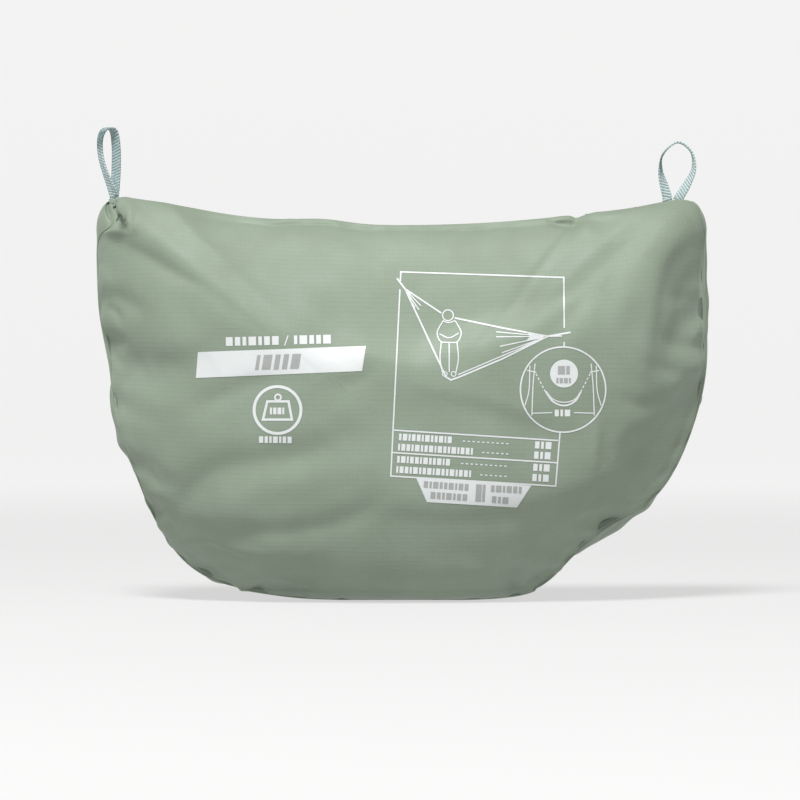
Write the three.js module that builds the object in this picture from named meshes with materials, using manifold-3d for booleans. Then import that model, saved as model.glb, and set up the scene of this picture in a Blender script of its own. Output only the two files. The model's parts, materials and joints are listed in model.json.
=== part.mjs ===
// A one-person camping hammock packed in its own half-moon pouch, standing on the pouch's round bottom.
// Millimetres. X runs along the pouch's width, the front panel faces -Y, +Z is up, and the origin is the
// middle of the bottom.
import * as THREE from "three";
import { mergeVertices } from "three/addons/utils/BufferGeometryUtils.js";
import Module from "manifold-3d";

const wasm = await Module();
wasm.setup();

// ---------------------------------------------------------------- driving dimensions
const GAP = 0.3; // between pieces that touch

// Pouch
const POUCH_WIDTH = 305;
const POUCH_HEIGHT = 200; // from the base to the two top corners
const POUCH_DEPTH = 88;
const TOP_DIP = 13; // the top edge dips this far between its corners
const CORNER_WIDTH = 15.5; // from the pouch's side in to where the dipped edge starts
const CORNER_DROP = 14; // from the corner's top down to where the side starts
const CORNER_LIFT = 1.5; // how the corner's curve is pulled up and out
const CORNER_LEAN = 2;
const SIDE_LENGTH = 36; // the nearly straight side below each corner
const BOTTOM_POWER = 2.4; // power of the superellipse that closes the bottom
const BASE_SINK = 4; // the round bottom is flattened by this much where the pouch stands on it
const CORE_HEIGHT = 85; // height of the fattest point
const FULLNESS = 2.4; // power of the padded profile: higher is fuller
const WALL = 1; // panel fabric with its coating and hem, as a solid skin
const HEM = 7; // panel edge turned inwards
const SEAM_HALF_GAP = 0.15;

// Zip along the dipped top edge
const ZIP_MOUTH = 18; // distance between the panels' hems along the zip
const MOUTH_TAPER = 20; // length over which the hems close up at each end of the zip
const ZIP_DEPTH = 5.5; // from the top edge down to the tape
const TAPE_THICKNESS = 0.8;
const TAPE_HALF_SLOT = 3.1; // from the middle of the zip to each tape
const TAPE_END = 1.2; // the tape ends are folded together beyond the stops
const COIL_END_SPACE = 14; // from the end of the mouth to the end of the coils
const COIL_WIDTH = 2;
const COIL_HEIGHT = 2.2;
const COIL_HALF_GAP = 0.8;
const STOP_LENGTH = 2.6;
const SLIDER_LENGTH = 11;
const SLIDER_WIDTH = 8.4;
const SLIDER_PLATE = 1.2;
const SLIDER_POST_LENGTH = 3; // the post between the plates, which parts the coils
const SLIDER_POST_WIDTH = 1;
const SLIDER_REST_GAP = 2.4; // from the stops to the slider of the closed zip
const BAIL_LENGTH = 7.2;
const BAIL_HEIGHT = 3.4;
const BAIL_WIDTH = 1.8;
const BAIL_WIRE = 1.2;
const PULL_LENGTH = 22;
const PULL_WIDTH = 6.4;
const PULL_THICKNESS = 1.2;
const PULL_EYE = 4.5;

// Webbing loops in the top corners
const WEBBING_WIDTH = 4.8;
const WEBBING_THICKNESS = 0.8;
const LOOP_FOOT_LIFT = 1; // so that a loop that tips over clears the seam
const LEFT_LOOP_INSET = 11.5; // from the pouch's side to the middle of the loop's foot
const RIGHT_LOOP_INSET = 17;

// Hammock cloth and its suspension, inside
const BINDING_WIDTH = 4.1;
const BINDING_THICKNESS = 0.7;
const HARDWARE_SPACE = 74; // from the top corners down to the folded cloth
const CLOTH_INSET = 9; // from the pouch's outline to the cloth's
const CLOTH_CLEARANCE = 1;
const CORD_DIAMETER = 5;
const GATHER_RING_RADIUS = 10;
const CARABINER_LENGTH = 64;
const CARABINER_WIDTH = 34;
const CARABINER_ROD = 6;
const CARABINER_CORNER = 10; // bend radius of the rod's middle line
const GATE_ROD = 5.6;
const GATE_OPENING = 34; // the gap in the rod that the gate closes
const GATE_TONGUE = 2; // thickness of the rod's tongue in the gate's forked end
const PIN_DIAMETER = 2;
const PIN_SETBACK = 3; // from the end of the gate's gap to its pin
const HANK_HEIGHT = 30;
const HANK_FRONT_SPACE = 17; // from the pouch's front to the hanks, which lie flatter in a thinner pouch
const HANK_BACK_Y = 3; // the hanks' back, just behind the middle of the pouch
const HANK_LIFT = 3; // the hanks' and the carabiners' height above the cloth
const CARABINER_LIFT = 2;
const HANK_END_SPACE = 34.5; // from the pouch's side to the hank
const HANK_SPACING = 16; // between the two hanks
const TIE_WIDTH = 16;
const TIE_THICKNESS = 1.5;

// ---------------------------------------------------------------- worked-out sizes
const HALF_WIDTH = POUCH_WIDTH / 2;
const HALF_DEPTH = POUCH_DEPTH / 2;
const TOP_HALF_CHORD = HALF_WIDTH - CORNER_WIDTH;
const TOP_RADIUS = (TOP_HALF_CHORD ** 2 + TOP_DIP ** 2) / (2 * TOP_DIP);
const TOP_CENTRE_Z = POUCH_HEIGHT - TOP_DIP + TOP_RADIUS;
const SIDE_TOP_Z = POUCH_HEIGHT - CORNER_DROP;
const SHOULDER_Z = SIDE_TOP_Z - SIDE_LENGTH;
const MOUTH_HALF_LENGTH = TOP_HALF_CHORD - MOUTH_TAPER;
const COIL_END_X = MOUTH_HALF_LENGTH - COIL_END_SPACE;
const CLOTH_TOP_Z = POUCH_HEIGHT - HARDWARE_SPACE;

// ---------------------------------------------------------------- geometry helpers
const vec = (x, y, z) => new THREE.Vector3(x, y, z);

/** Turns the faces of a closed indexed geometry outwards. */
function facingOut(geometry) {
  const position = geometry.getAttribute("position");
  const index = geometry.index.array;
  const [a, b, c] = [vec(), vec(), vec()];
  let sixVolumes = 0;
  for (let i = 0; i < index.length; i += 3) {
    a.fromBufferAttribute(position, index[i]);
    b.fromBufferAttribute(position, index[i + 1]);
    c.fromBufferAttribute(position, index[i + 2]);
    sixVolumes += a.dot(b.cross(c));
  }
  if (sixVolumes < 0) index.reverse();
  return geometry;
}

/** A closed skin through rings of points. A ring of one point closes its end of the skin. */
function skin(rings) {
  const points = rings.flat();
  const index = [];
  let start = 0;
  for (let k = 0; k + 1 < rings.length; k++) {
    const [near, far] = [rings[k].length, rings[k + 1].length];
    const count = Math.max(near, far);
    for (let i = 0; i < count; i++) {
      const next = (i + 1) % count;
      const [n0, n1] = [start + (i % near), start + (next % near)];
      const [f0, f1] = [start + near + (i % far), start + near + (next % far)];
      if (near > 1) index.push(n0, n1, f0);
      if (far > 1) index.push(f0, n1, f1);
    }
    start += near;
  }
  const geometry = new THREE.BufferGeometry().setFromPoints(points);
  geometry.setIndex(new THREE.BufferAttribute(new Uint32Array(index), 1));
  return facingOut(geometry);
}

/** A skin through open-ended sections, closed at both ends by the sections' middles. */
function loft(sections) {
  const middle = (ring) => ring.reduce((sum, p) => sum.add(p), vec(0, 0, 0)).divideScalar(ring.length);
  return skin([[middle(sections[0])], ...sections, [middle(sections.at(-1))]]);
}

function toSolid(geometry) {
  const bare = geometry.clone();
  bare.deleteAttribute("normal");
  bare.deleteAttribute("uv");
  const merged = facingOut(mergeVertices(bare, 1e-4));
  return new wasm.Manifold(
    new wasm.Mesh({
      numProp: 3,
      vertProperties: new Float32Array(merged.getAttribute("position").array),
      triVerts: new Uint32Array(merged.index.array),
    }),
  );
}

function toGeometry(solid) {
  const mesh = solid.getMesh();
  const geometry = new THREE.BufferGeometry();
  geometry.setAttribute("position", new THREE.BufferAttribute(new Float32Array(mesh.vertProperties), 3));
  geometry.setIndex(new THREE.BufferAttribute(new Uint32Array(mesh.triVerts), 1));
  return geometry;
}

const join = (...parts) => toGeometry(parts.map(toSolid).reduce((all, part) => all.add(part)));
const cut = (whole, ...tools) =>
  toGeometry(tools.map(toSolid).reduce((rest, tool) => rest.subtract(tool), toSolid(whole)));

/** A box between two corners. */
function block(low, high) {
  const size = high.clone().sub(low);
  const centre = high.clone().add(low).divideScalar(2);
  return new THREE.BoxGeometry(size.x, size.y, size.z).translate(centre.x, centre.y, centre.z);
}

/** A round bar along Y. */
const barAlongY = (radius, length, x, z) =>
  new THREE.CylinderGeometry(radius, radius, length, 16).translate(x, 0, z);

/** A round bar along X between two places. */
const barAlongX = (radius, x0, x1, z) =>
  new THREE.CylinderGeometry(radius, radius, x1 - x0, 16)
    .rotateZ(Math.PI / 2)
    .translate((x0 + x1) / 2, 0, z);

/** Places spread evenly between two ends, both included. */
function evenPlaces(from, to, steps) {
  return Array.from({ length: steps + 1 }, (_, i) => from + ((to - from) * i) / steps);
}

// ---------------------------------------------------------------- the pouch's outline
/** The zip's mouth at a place along the top edge, as half the distance between the hems. */
function mouthHalfWidth(x) {
  const beyond = THREE.MathUtils.clamp((Math.abs(x) - MOUTH_HALF_LENGTH) / MOUTH_TAPER, 0, 1);
  return THREE.MathUtils.lerp(ZIP_MOUTH / 2, SEAM_HALF_GAP, beyond);
}

/** The right half of the outline, from the middle of the top edge to the middle of the bottom. */
function rightHalfOutline() {
  const points = [];
  const ARC_STEPS = 8;
  const places = [...evenPlaces(0, MOUTH_HALF_LENGTH, ARC_STEPS), MOUTH_HALF_LENGTH + MOUTH_TAPER / 2];
  for (const x of places) {
    const z = TOP_CENTRE_Z - Math.sqrt(TOP_RADIUS ** 2 - x ** 2);
    points.push({ x, z, mouth: mouthHalfWidth(x) });
  }
  const corner = new THREE.QuadraticBezierCurve(
    new THREE.Vector2(TOP_HALF_CHORD, POUCH_HEIGHT),
    new THREE.Vector2(HALF_WIDTH - CORNER_LEAN, POUCH_HEIGHT + CORNER_LIFT),
    new THREE.Vector2(HALF_WIDTH, SIDE_TOP_Z),
  );
  const side = new THREE.LineCurve(
    new THREE.Vector2(HALF_WIDTH, SIDE_TOP_Z),
    new THREE.Vector2(HALF_WIDTH, SHOULDER_Z),
  );
  const CORNER_STEPS = 4;
  for (let i = 0; i < CORNER_STEPS; i++) points.push(corner.getPoint(i / CORNER_STEPS));
  const SIDE_STEPS = 2;
  for (let i = 0; i < SIDE_STEPS; i++) points.push(side.getPoint(i / SIDE_STEPS));
  const BOTTOM_STEPS = 14;
  for (let i = 0; i <= BOTTOM_STEPS; i++) {
    const angle = (Math.PI / 2) * (i / BOTTOM_STEPS);
    const power = 2 / BOTTOM_POWER;
    points.push({
      x: HALF_WIDTH * Math.cos(angle) ** power,
      z: SHOULDER_Z - (SHOULDER_Z + BASE_SINK) * Math.sin(angle) ** power,
    });
  }
  return points.map((p) => ({ x: Math.max(p.x, 0), z: p.z ?? p.y, mouth: p.mouth ?? SEAM_HALF_GAP }));
}

const RIGHT_HALF = rightHalfOutline();
const LEFT_HALF = RIGHT_HALF.slice(1, -1)
  .reverse()
  .map((p) => ({ ...p, x: -p.x }));
const OUTLINE = [...RIGHT_HALF, ...LEFT_HALF];

/** The outline moved inwards by a distance. */
function outlineInset(distance) {
  return OUTLINE.map((p, i) => {
    const before = OUTLINE.at(i - 1);
    const after = OUTLINE[(i + 1) % OUTLINE.length];
    const along = new THREE.Vector2(after.x - before.x, after.z - before.z).normalize();
    return { x: p.x + along.y * distance, z: p.z - along.x * distance, mouth: p.mouth };
  });
}

/** Rings of a padded dome, from its middle to its rim. side is -1 towards the front, 1 to the back. */
function domeRings({ outline, side, rim, height, low }) {
  const RINGS = 8;
  const rings = [[vec(0, side * height, CORE_HEIGHT)]];
  for (let k = 1; k <= RINGS; k++) {
    const share = Math.sin((Math.PI / 2) * (k / RINGS));
    const bulge = Math.sqrt(Math.max(0, 1 - share ** FULLNESS));
    rings.push(
      outline.map((p) => {
        const edge = rim(p);
        const z = CORE_HEIGHT + (p.z - CORE_HEIGHT) * share;
        return vec(p.x * share, side * (edge + (height - edge) * bulge), Math.max(z, low));
      }),
    );
  }
  return rings;
}

// ---------------------------------------------------------------- the pouch
/** One half-moon panel: a padded skin whose edge turns inwards as a hem. */
function panel(side) {
  const outer = domeRings({
    outline: OUTLINE,
    side,
    rim: (p) => p.mouth,
    height: HALF_DEPTH,
    low: 0,
  });
  const inner = domeRings({
    outline: outlineInset(WALL),
    side,
    rim: (p) => p.mouth + WALL,
    height: HALF_DEPTH - WALL,
    low: WALL,
  });
  const hemEdge = (offset) => outlineInset(HEM).map((p) => vec(p.x, side * (p.mouth + offset), p.z));
  return skin([...outer, hemEdge(0), hemEdge(WALL), ...inner.reverse()]);
}

/** The tape over the raw edges of the round seam, a strip just inside the two hems. */
function seamBinding() {
  const near = outlineInset(HEM + GAP);
  const far = outlineInset(HEM + GAP + BINDING_THICKNESS);
  const half = BINDING_WIDTH / 2;
  const stations = OUTLINE.map((p, i) => i).filter((i) => OUTLINE[i].z < SIDE_TOP_Z);
  return loft(
    stations.map((i) => [
      vec(near[i].x, -half, near[i].z),
      vec(near[i].x, half, near[i].z),
      vec(far[i].x, half, far[i].z),
      vec(far[i].x, -half, far[i].z),
    ]),
  );
}

// ---------------------------------------------------------------- the zip
/** A point of the bent zip: a place along the top edge, a distance from its middle, a depth below it. */
function zipPoint(x, y, depth) {
  const angle = Math.asin(x / TOP_RADIUS);
  const radius = TOP_RADIUS + depth;
  return vec(radius * Math.sin(angle), y, TOP_CENTRE_Z - radius * Math.cos(angle));
}

/** A strip along the zip. inner and outer give its two edges at each place along the top edge. */
function zipStrip({ places, inner, outer, side, top, bottom }) {
  return loft(
    places.map((x) => [
      zipPoint(x, side * inner(x), top),
      zipPoint(x, side * outer(x), top),
      zipPoint(x, side * outer(x), bottom),
      zipPoint(x, side * inner(x), bottom),
    ]),
  );
}

const TAPE_MIDDLE = ZIP_DEPTH + TAPE_THICKNESS / 2;
const STOP_START_X = COIL_END_X + GAP;
const STOP_END_X = STOP_START_X + STOP_LENGTH;
const TAPE_JOIN_X = STOP_END_X + GAP;

/** A woven tape between its coil and its panel's hem. Its ends fold towards the other tape. */
function zipTape(side) {
  const end = MOUTH_HALF_LENGTH + MOUTH_TAPER / 2;
  const half = [...evenPlaces(0, TAPE_JOIN_X, 8), TAPE_JOIN_X + TAPE_END, MOUTH_HALF_LENGTH, end];
  const places = [...half.slice(1).reverse().map((x) => -x), ...half];
  return zipStrip({
    places,
    inner: (x) => (Math.abs(x) > TAPE_JOIN_X ? SEAM_HALF_GAP : TAPE_HALF_SLOT),
    outer: (x) => mouthHalfWidth(x) - GAP,
    side,
    top: ZIP_DEPTH,
    bottom: ZIP_DEPTH + TAPE_THICKNESS,
  });
}

function zipCoil(side) {
  return zipStrip({
    places: evenPlaces(-COIL_END_X, COIL_END_X, 16),
    inner: () => COIL_HALF_GAP,
    outer: () => COIL_HALF_GAP + COIL_WIDTH,
    side,
    top: TAPE_MIDDLE - COIL_HEIGHT / 2,
    bottom: TAPE_MIDDLE + COIL_HEIGHT / 2,
  });
}

/** A crimped stop at one end of the coils. */
function zipStop({ from, to, inner, outer, side }) {
  return zipStrip({
    places: [from, to],
    inner: () => inner,
    outer: () => outer,
    side,
    top: TAPE_MIDDLE - COIL_HEIGHT / 2,
    bottom: TAPE_MIDDLE + COIL_HEIGHT / 2,
  });
}

const PLATE_NEAR = COIL_HEIGHT / 2 + GAP; // from the tape's middle to the slider's plates
const FLANGE_NEAR = TAPE_THICKNESS / 2 + GAP;
const PIVOT_HEIGHT = PLATE_NEAR + SLIDER_PLATE + (BAIL_HEIGHT - BAIL_WIRE) / 2;

/** The slider about the middle of the tape: two flanged plates, the post between them and the bail. */
function zipSlider() {
  const halfLength = SLIDER_LENGTH / 2;
  const halfWidth = SLIDER_WIDTH / 2;
  const flange = halfWidth - COIL_HALF_GAP - COIL_WIDTH - GAP;
  const parts = [];
  for (const up of [-1, 1]) {
    const between = (x0, x1, y0, y1, z0, z1) => {
      const [low, high] = [Math.min(up * z0, up * z1), Math.max(up * z0, up * z1)];
      parts.push(block(vec(x0, y0, low), vec(x1, y1, high)));
    };
    between(-halfLength, halfLength, -halfWidth, halfWidth, PLATE_NEAR, PLATE_NEAR + SLIDER_PLATE);
    for (const side of [-1, 1]) {
      const edges = [side * halfWidth, side * (halfWidth - flange)].sort((a, b) => a - b);
      between(-halfLength, halfLength, ...edges, FLANGE_NEAR, PLATE_NEAR + SLIDER_PLATE / 2);
    }
  }
  parts.push(
    block(
      vec(halfLength - SLIDER_POST_LENGTH, -SLIDER_POST_WIDTH / 2, -PLATE_NEAR - SLIDER_PLATE / 2),
      vec(halfLength, SLIDER_POST_WIDTH / 2, PLATE_NEAR + SLIDER_PLATE / 2),
    ),
  );
  const deck = PLATE_NEAR + SLIDER_PLATE;
  const bail = cut(
    block(
      vec(-BAIL_LENGTH / 2, -BAIL_WIDTH / 2, deck - SLIDER_PLATE / 2),
      vec(BAIL_LENGTH / 2, BAIL_WIDTH / 2, deck + BAIL_HEIGHT),
    ),
    block(
      vec(-BAIL_LENGTH / 2 + BAIL_WIRE, -BAIL_WIDTH, deck),
      vec(BAIL_LENGTH / 2 - BAIL_WIRE, BAIL_WIDTH, deck + BAIL_HEIGHT - BAIL_WIRE),
    ),
  );
  return join(...parts, bail);
}

/** The pull tab, lying back along the zip from the slider's bail. Its eye takes the bail. */
function zipPull() {
  const BAR = 0.6; // half the thickness of the bar under the bail
  const tab = new THREE.Shape();
  const half = PULL_WIDTH / 2;
  const NECK = 0.8;
  tab.moveTo(BAR, -half + NECK);
  tab.lineTo(BAR, half - NECK);
  tab.lineTo(-PULL_EYE, half - NECK);
  tab.lineTo(-PULL_EYE - half, half);
  tab.lineTo(-PULL_LENGTH + half, half);
  tab.absarc(-PULL_LENGTH + half, 0, half, Math.PI / 2, (3 * Math.PI) / 2, false);
  tab.lineTo(-PULL_EYE - half, -half);
  tab.lineTo(-PULL_EYE, -half + NECK);
  const eye = new THREE.Path();
  const eyeHalf = BAIL_WIDTH / 2 + GAP;
  eye.moveTo(-BAR, -eyeHalf);
  eye.lineTo(-BAR - PULL_EYE, -eyeHalf);
  eye.lineTo(-BAR - PULL_EYE, eyeHalf);
  eye.lineTo(-BAR, eyeHalf);
  tab.holes.push(eye);
  return new THREE.ExtrudeGeometry(tab, { depth: PULL_THICKNESS, bevelEnabled: false, curveSegments: 8 })
    .translate(0, 0, PIVOT_HEIGHT - PULL_THICKNESS / 2);
}

// ---------------------------------------------------------------- webbing loops
/**
 * A ribbon that stands on z = 0, along a route. Each stop of the route is a place and the direction of
 * the ribbon's width there.
 */
function ribbon(route) {
  const STEPS = 30;
  const path = new THREE.CatmullRomCurve3(route.map(([place]) => vec(...place)));
  const widths = new THREE.CatmullRomCurve3(route.map(([, width]) => vec(...width)));
  const geometry = loft(
    evenPlaces(0, 1, STEPS).map((t) => {
      const centre = path.getPoint(t);
      const along = path.getTangent(t);
      const across = widths.getPoint(t);
      across.addScaledVector(along, -across.dot(along)).setLength(WEBBING_WIDTH / 2);
      const out = along.clone().cross(across).setLength(WEBBING_THICKNESS / 2);
      const corner = (a, b) => centre.clone().addScaledVector(across, a).addScaledVector(out, b);
      return [corner(-1, -1), corner(1, -1), corner(1, 1), corner(-1, 1)];
    }),
  );
  geometry.computeBoundingBox();
  return geometry.translate(0, 0, -geometry.boundingBox.min.z);
}

// The left loop stands turned, so that its eye faces sideways; its two feet lie one behind the other.
const LEFT_LOOP_ROUTE = [
  [[0, -0.6, 0], [1, 0, 0]],
  [[-2.5, -3, 7], [0.97, -0.2, 0]],
  [[-6.5, -5.5, 15], [0.85, -0.5, 0]],
  [[-9, -6.5, 25], [0.76, -0.65, 0]],
  [[-6.5, -1, 33], [0.76, -0.65, 0]],
  [[-1.5, 5, 34.5], [0.76, -0.65, 0]],
  [[1.3, 6.5, 26], [0.76, -0.65, 0]],
  [[1.3, 5.5, 16], [0.85, -0.5, 0]],
  [[-0.2, 2.8, 7], [0.97, -0.2, 0]],
  [[0, 0.6, 0], [1, 0, 0]],
];

// The right loop's eye faces the front; its feet lie side by side, so each leg twists by a quarter turn.
const RIGHT_LOOP_ROUTE = [
  [[-2.7, 0, 0], [1, 0, 0]],
  [[-4.6, 0, 7], [0.85, 0.5, 0]],
  [[-6.2, 0, 14], [0.4, 0.9, 0]],
  [[-5, 0, 22], [0, 1, 0]],
  [[2.2, 0, 28], [0, 1, 0]],
  [[9, 0, 23.5], [0, 1, 0]],
  [[10.4, 0, 15], [-0.3, 0.95, 0]],
  [[7, 0, 7], [-0.8, 0.6, 0]],
  [[2.7, 0, 0], [-1, 0, 0]],
];

/** The height of the pouch's outline at a place on its top edge. */
function topEdgeHeight(x) {
  const k = RIGHT_HALF.findIndex((p) => p.x >= Math.abs(x));
  const [a, b] = [RIGHT_HALF[k - 1], RIGHT_HALF[k]];
  return THREE.MathUtils.mapLinear(Math.abs(x), a.x, b.x, a.z, b.z);
}

/** Where a loop's feet stand: just above the sloping corner over their whole width. */
function loopFoot(x, halfWidth) {
  const heights = [x - halfWidth, x, x + halfWidth].map(topEdgeHeight);
  return vec(x, 0, Math.max(...heights) + LOOP_FOOT_LIFT);
}

// ---------------------------------------------------------------- the hammock inside
/** The folded cloth: a padded block that fills the pouch up to the hardware, tunnelled for the cords. */
function hammockBed() {
  const half = (side) =>
    domeRings({
      outline: outlineInset(CLOTH_INSET),
      side,
      rim: () => 0,
      height: HALF_DEPTH - WALL - CLOTH_CLEARANCE,
      low: WALL + GAP,
    });
  const front = half(-1);
  const back = half(1).slice(0, -1).reverse();
  const above = block(vec(-HALF_WIDTH, -HALF_DEPTH, CLOTH_TOP_Z), vec(HALF_WIDTH, HALF_DEPTH, POUCH_HEIGHT));
  const tunnels = [-1, 1].map((side) => gatherRing(side, CORD_DIAMETER / 2 + GAP));
  return cut(skin([...front, ...back]), above, ...tunnels);
}

const HANK_LENGTH = HALF_WIDTH - HANK_END_SPACE - HANK_SPACING / 2;
const HANK_CENTRE_X = (HANK_SPACING + HANK_LENGTH) / 2;
const HANK_FRONT_Y = HANK_FRONT_SPACE - HALF_DEPTH;
const HANK_DEPTH = HANK_BACK_Y - HANK_FRONT_Y;
const HANK_BOTTOM_Z = CLOTH_TOP_Z + HANK_LIFT;
const CARABINER_Y = HANK_BACK_Y + TIE_THICKNESS + GATHER_RING_RADIUS + CORD_DIAMETER / 2 + 1;
const SPINE_Z = CLOTH_TOP_Z + CARABINER_LIFT + CARABINER_ROD / 2;
const RING_OFFSET_X = 10; // from the carabiner's middle towards the gate's pin
const RING_Z = SPINE_Z + CARABINER_ROD / 2 + CORD_DIAMETER / 2 + 2 * GAP - GATHER_RING_RADIUS;

/** The cord ring that gathers the cloth's end, round the carabiner's spine and through the cloth. */
function gatherRing(side, tubeRadius) {
  return new THREE.TorusGeometry(GATHER_RING_RADIUS, tubeRadius, 8, 24)
    .rotateY(Math.PI / 2)
    .translate(side * (HANK_CENTRE_X + RING_OFFSET_X), CARABINER_Y, RING_Z);
}

const ROD_HALF_LENGTH = (CARABINER_LENGTH - CARABINER_ROD) / 2;
const ROD_HALF_WIDTH = (CARABINER_WIDTH - CARABINER_ROD) / 2;
const GATE_PIN_X = GATE_OPENING / 2 - PIN_SETBACK;

/** The carabiner's bent rod about its middle, open at the top for the gate, with the gate's tongue. */
function carabinerBody() {
  const path = new THREE.CurvePath();
  const corner = (cx, cz, from) => {
    const bend = new THREE.EllipseCurve(
      cx,
      cz,
      CARABINER_CORNER,
      CARABINER_CORNER,
      from,
      from + Math.PI / 2,
      false,
    );
    return bend.getPoints(6).map((p) => vec(p.x, 0, p.y));
  };
  const [cx, cz] = [ROD_HALF_LENGTH - CARABINER_CORNER, ROD_HALF_WIDTH - CARABINER_CORNER];
  const points = [
    vec(-GATE_OPENING / 2, 0, ROD_HALF_WIDTH),
    ...corner(-cx, cz, Math.PI / 2),
    ...corner(-cx, -cz, Math.PI),
    ...corner(cx, -cz, (3 * Math.PI) / 2),
    ...corner(cx, cz, 0),
    vec(GATE_OPENING / 2, 0, ROD_HALF_WIDTH),
  ];
  for (let i = 0; i + 1 < points.length; i++) path.add(new THREE.LineCurve3(points[i], points[i + 1]));
  const section = new THREE.Shape().absarc(0, 0, CARABINER_ROD / 2, 0, 2 * Math.PI, false);
  const rod = new THREE.ExtrudeGeometry(section, { steps: 44, curveSegments: 5, extrudePath: path });
  const TONGUE_HALF_HEIGHT = 2.5;
  const tongue = join(
    block(
      vec(GATE_PIN_X, -GATE_TONGUE / 2, ROD_HALF_WIDTH - TONGUE_HALF_HEIGHT),
      vec(GATE_OPENING / 2 + 1, GATE_TONGUE / 2, ROD_HALF_WIDTH + TONGUE_HALF_HEIGHT),
    ),
    barAlongY(TONGUE_HALF_HEIGHT, GATE_TONGUE, GATE_PIN_X, ROD_HALF_WIDTH),
  );
  return cut(join(rod, tongue), pinBore());
}

const pinBore = () => barAlongY(PIN_DIAMETER / 2 + GAP, 2 * CARABINER_ROD, GATE_PIN_X, ROD_HALF_WIDTH);

/** The gate: a straight rod whose forked end straddles the tongue. */
function carabinerGate() {
  const HEEL = 1.6; // gate beyond its pin
  const SLOT = 4.5; // slot beyond the pin on the gate's side
  const rod = barAlongX(GATE_ROD / 2, -GATE_OPENING / 2 + 0.5, GATE_PIN_X + HEEL, ROD_HALF_WIDTH);
  const slotHalf = GATE_TONGUE / 2 + GAP;
  const slot = block(
    vec(GATE_PIN_X - SLOT, -slotHalf, ROD_HALF_WIDTH - GATE_ROD),
    vec(GATE_PIN_X + HEEL + 1, slotHalf, ROD_HALF_WIDTH + GATE_ROD),
  );
  return cut(rod, slot, pinBore());
}

const gatePin = () => barAlongY(PIN_DIAMETER / 2, GATE_ROD + 0.8, GATE_PIN_X, ROD_HALF_WIDTH);

/** A hank of rope: the outline of its long runs and round turns, as deep as the hank. */
function ropeHank() {
  const outline = new THREE.Shape();
  const turn = HANK_HEIGHT / 2;
  const run = HANK_LENGTH / 2 - turn;
  outline.absarc(run, 0, turn, -Math.PI / 2, Math.PI / 2, false);
  outline.absarc(-run, 0, turn, Math.PI / 2, (3 * Math.PI) / 2, false);
  return new THREE.ExtrudeGeometry(outline, { depth: HANK_DEPTH, bevelEnabled: false, curveSegments: 12 })
    .rotateX(Math.PI / 2)
    .translate(0, HANK_DEPTH / 2, 0);
}

/** The band round the middle of a hank. */
function ropeTie() {
  const rectangle = (shape, halfY, halfZ) => {
    shape.moveTo(-halfY, -halfZ);
    shape.lineTo(halfY, -halfZ);
    shape.lineTo(halfY, halfZ);
    shape.lineTo(-halfY, halfZ);
    return shape;
  };
  const [halfY, halfZ] = [HANK_DEPTH / 2 + GAP, HANK_HEIGHT / 2 + GAP];
  const band = rectangle(new THREE.Shape(), halfY + TIE_THICKNESS, halfZ + TIE_THICKNESS);
  band.holes.push(rectangle(new THREE.Path(), halfY, halfZ));
  return new THREE.ExtrudeGeometry(band, { depth: TIE_WIDTH, bevelEnabled: false })
    .rotateX(Math.PI / 2)
    .rotateZ(Math.PI / 2)
    .translate(-TIE_WIDTH / 2, 0, 0);
}

// ---------------------------------------------------------------- materials and assembly
const finish = (color, roughness, metalness) =>
  new THREE.MeshStandardMaterial({ color, roughness, metalness });
const MATERIALS = {
  ripstop: () => finish("#95a892", 0.6, 0),
  zipTape: () => finish("#5c6b5a", 0.85, 0),
  zipCoil: () => finish("#4a5749", 0.5, 0),
  zipMetal: () => finish("#9a9d9a", 0.35, 1),
  webbing: () => finish("#b4c6c6", 0.8, 0),
  cord: () => finish("#2f3432", 0.9, 0),
  rope: () => finish("#d9d9d2", 0.85, 0),
  aluminium: () => finish("#a9adb0", 0.35, 1),
  steel: () => finish("#c2c4c6", 0.3, 1),
};

const hammock = new THREE.Group();

/** Adds a named piece to a group at a place. */
function add(name, geometry, material, place = vec(0, 0, 0), group = hammock) {
  const mesh = new THREE.Mesh(geometry, MATERIALS[material]());
  mesh.name = name;
  mesh.position.copy(place);
  group.add(mesh);
  return mesh;
}

add("front_panel", panel(-1), "ripstop");
add("back_panel", panel(1), "ripstop");
add("seam_binding", seamBinding(), "zipTape");

const COIL_EDGE = COIL_HALF_GAP + COIL_WIDTH;
for (const [face, side] of [["front", -1], ["back", 1]]) {
  add(`zip_tape_${face}`, zipTape(side), "zipTape");
  add(`zip_coil_${face}`, zipCoil(side), "zipCoil");
  const stop = zipStop({ from: STOP_START_X, to: STOP_END_X, inner: COIL_HALF_GAP, outer: COIL_EDGE, side });
  add(`zip_top_stop_${face}`, stop, "zipMetal");
}
const bottomStop = zipStop({
  from: -STOP_END_X,
  to: -STOP_START_X,
  inner: -COIL_EDGE,
  outer: COIL_EDGE,
  side: 1,
});
add("zip_bottom_stop", bottomStop, "zipMetal");

// The slider and its pull turn about the middle of the circle that the top edge is part of.
const sliderTrack = new THREE.Group();
const sliderRestX = COIL_END_X - SLIDER_REST_GAP - SLIDER_LENGTH / 2;
sliderTrack.position.z = TOP_CENTRE_Z;
sliderTrack.rotation.y = -Math.asin(sliderRestX / TOP_RADIUS);
hammock.add(sliderTrack);
const tapeMiddle = vec(0, 0, -TOP_RADIUS - TAPE_MIDDLE);
add("zip_slider", zipSlider(), "zipMetal", tapeMiddle, sliderTrack);
add("zip_pull", zipPull(), "zipMetal", tapeMiddle, sliderTrack);

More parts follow.
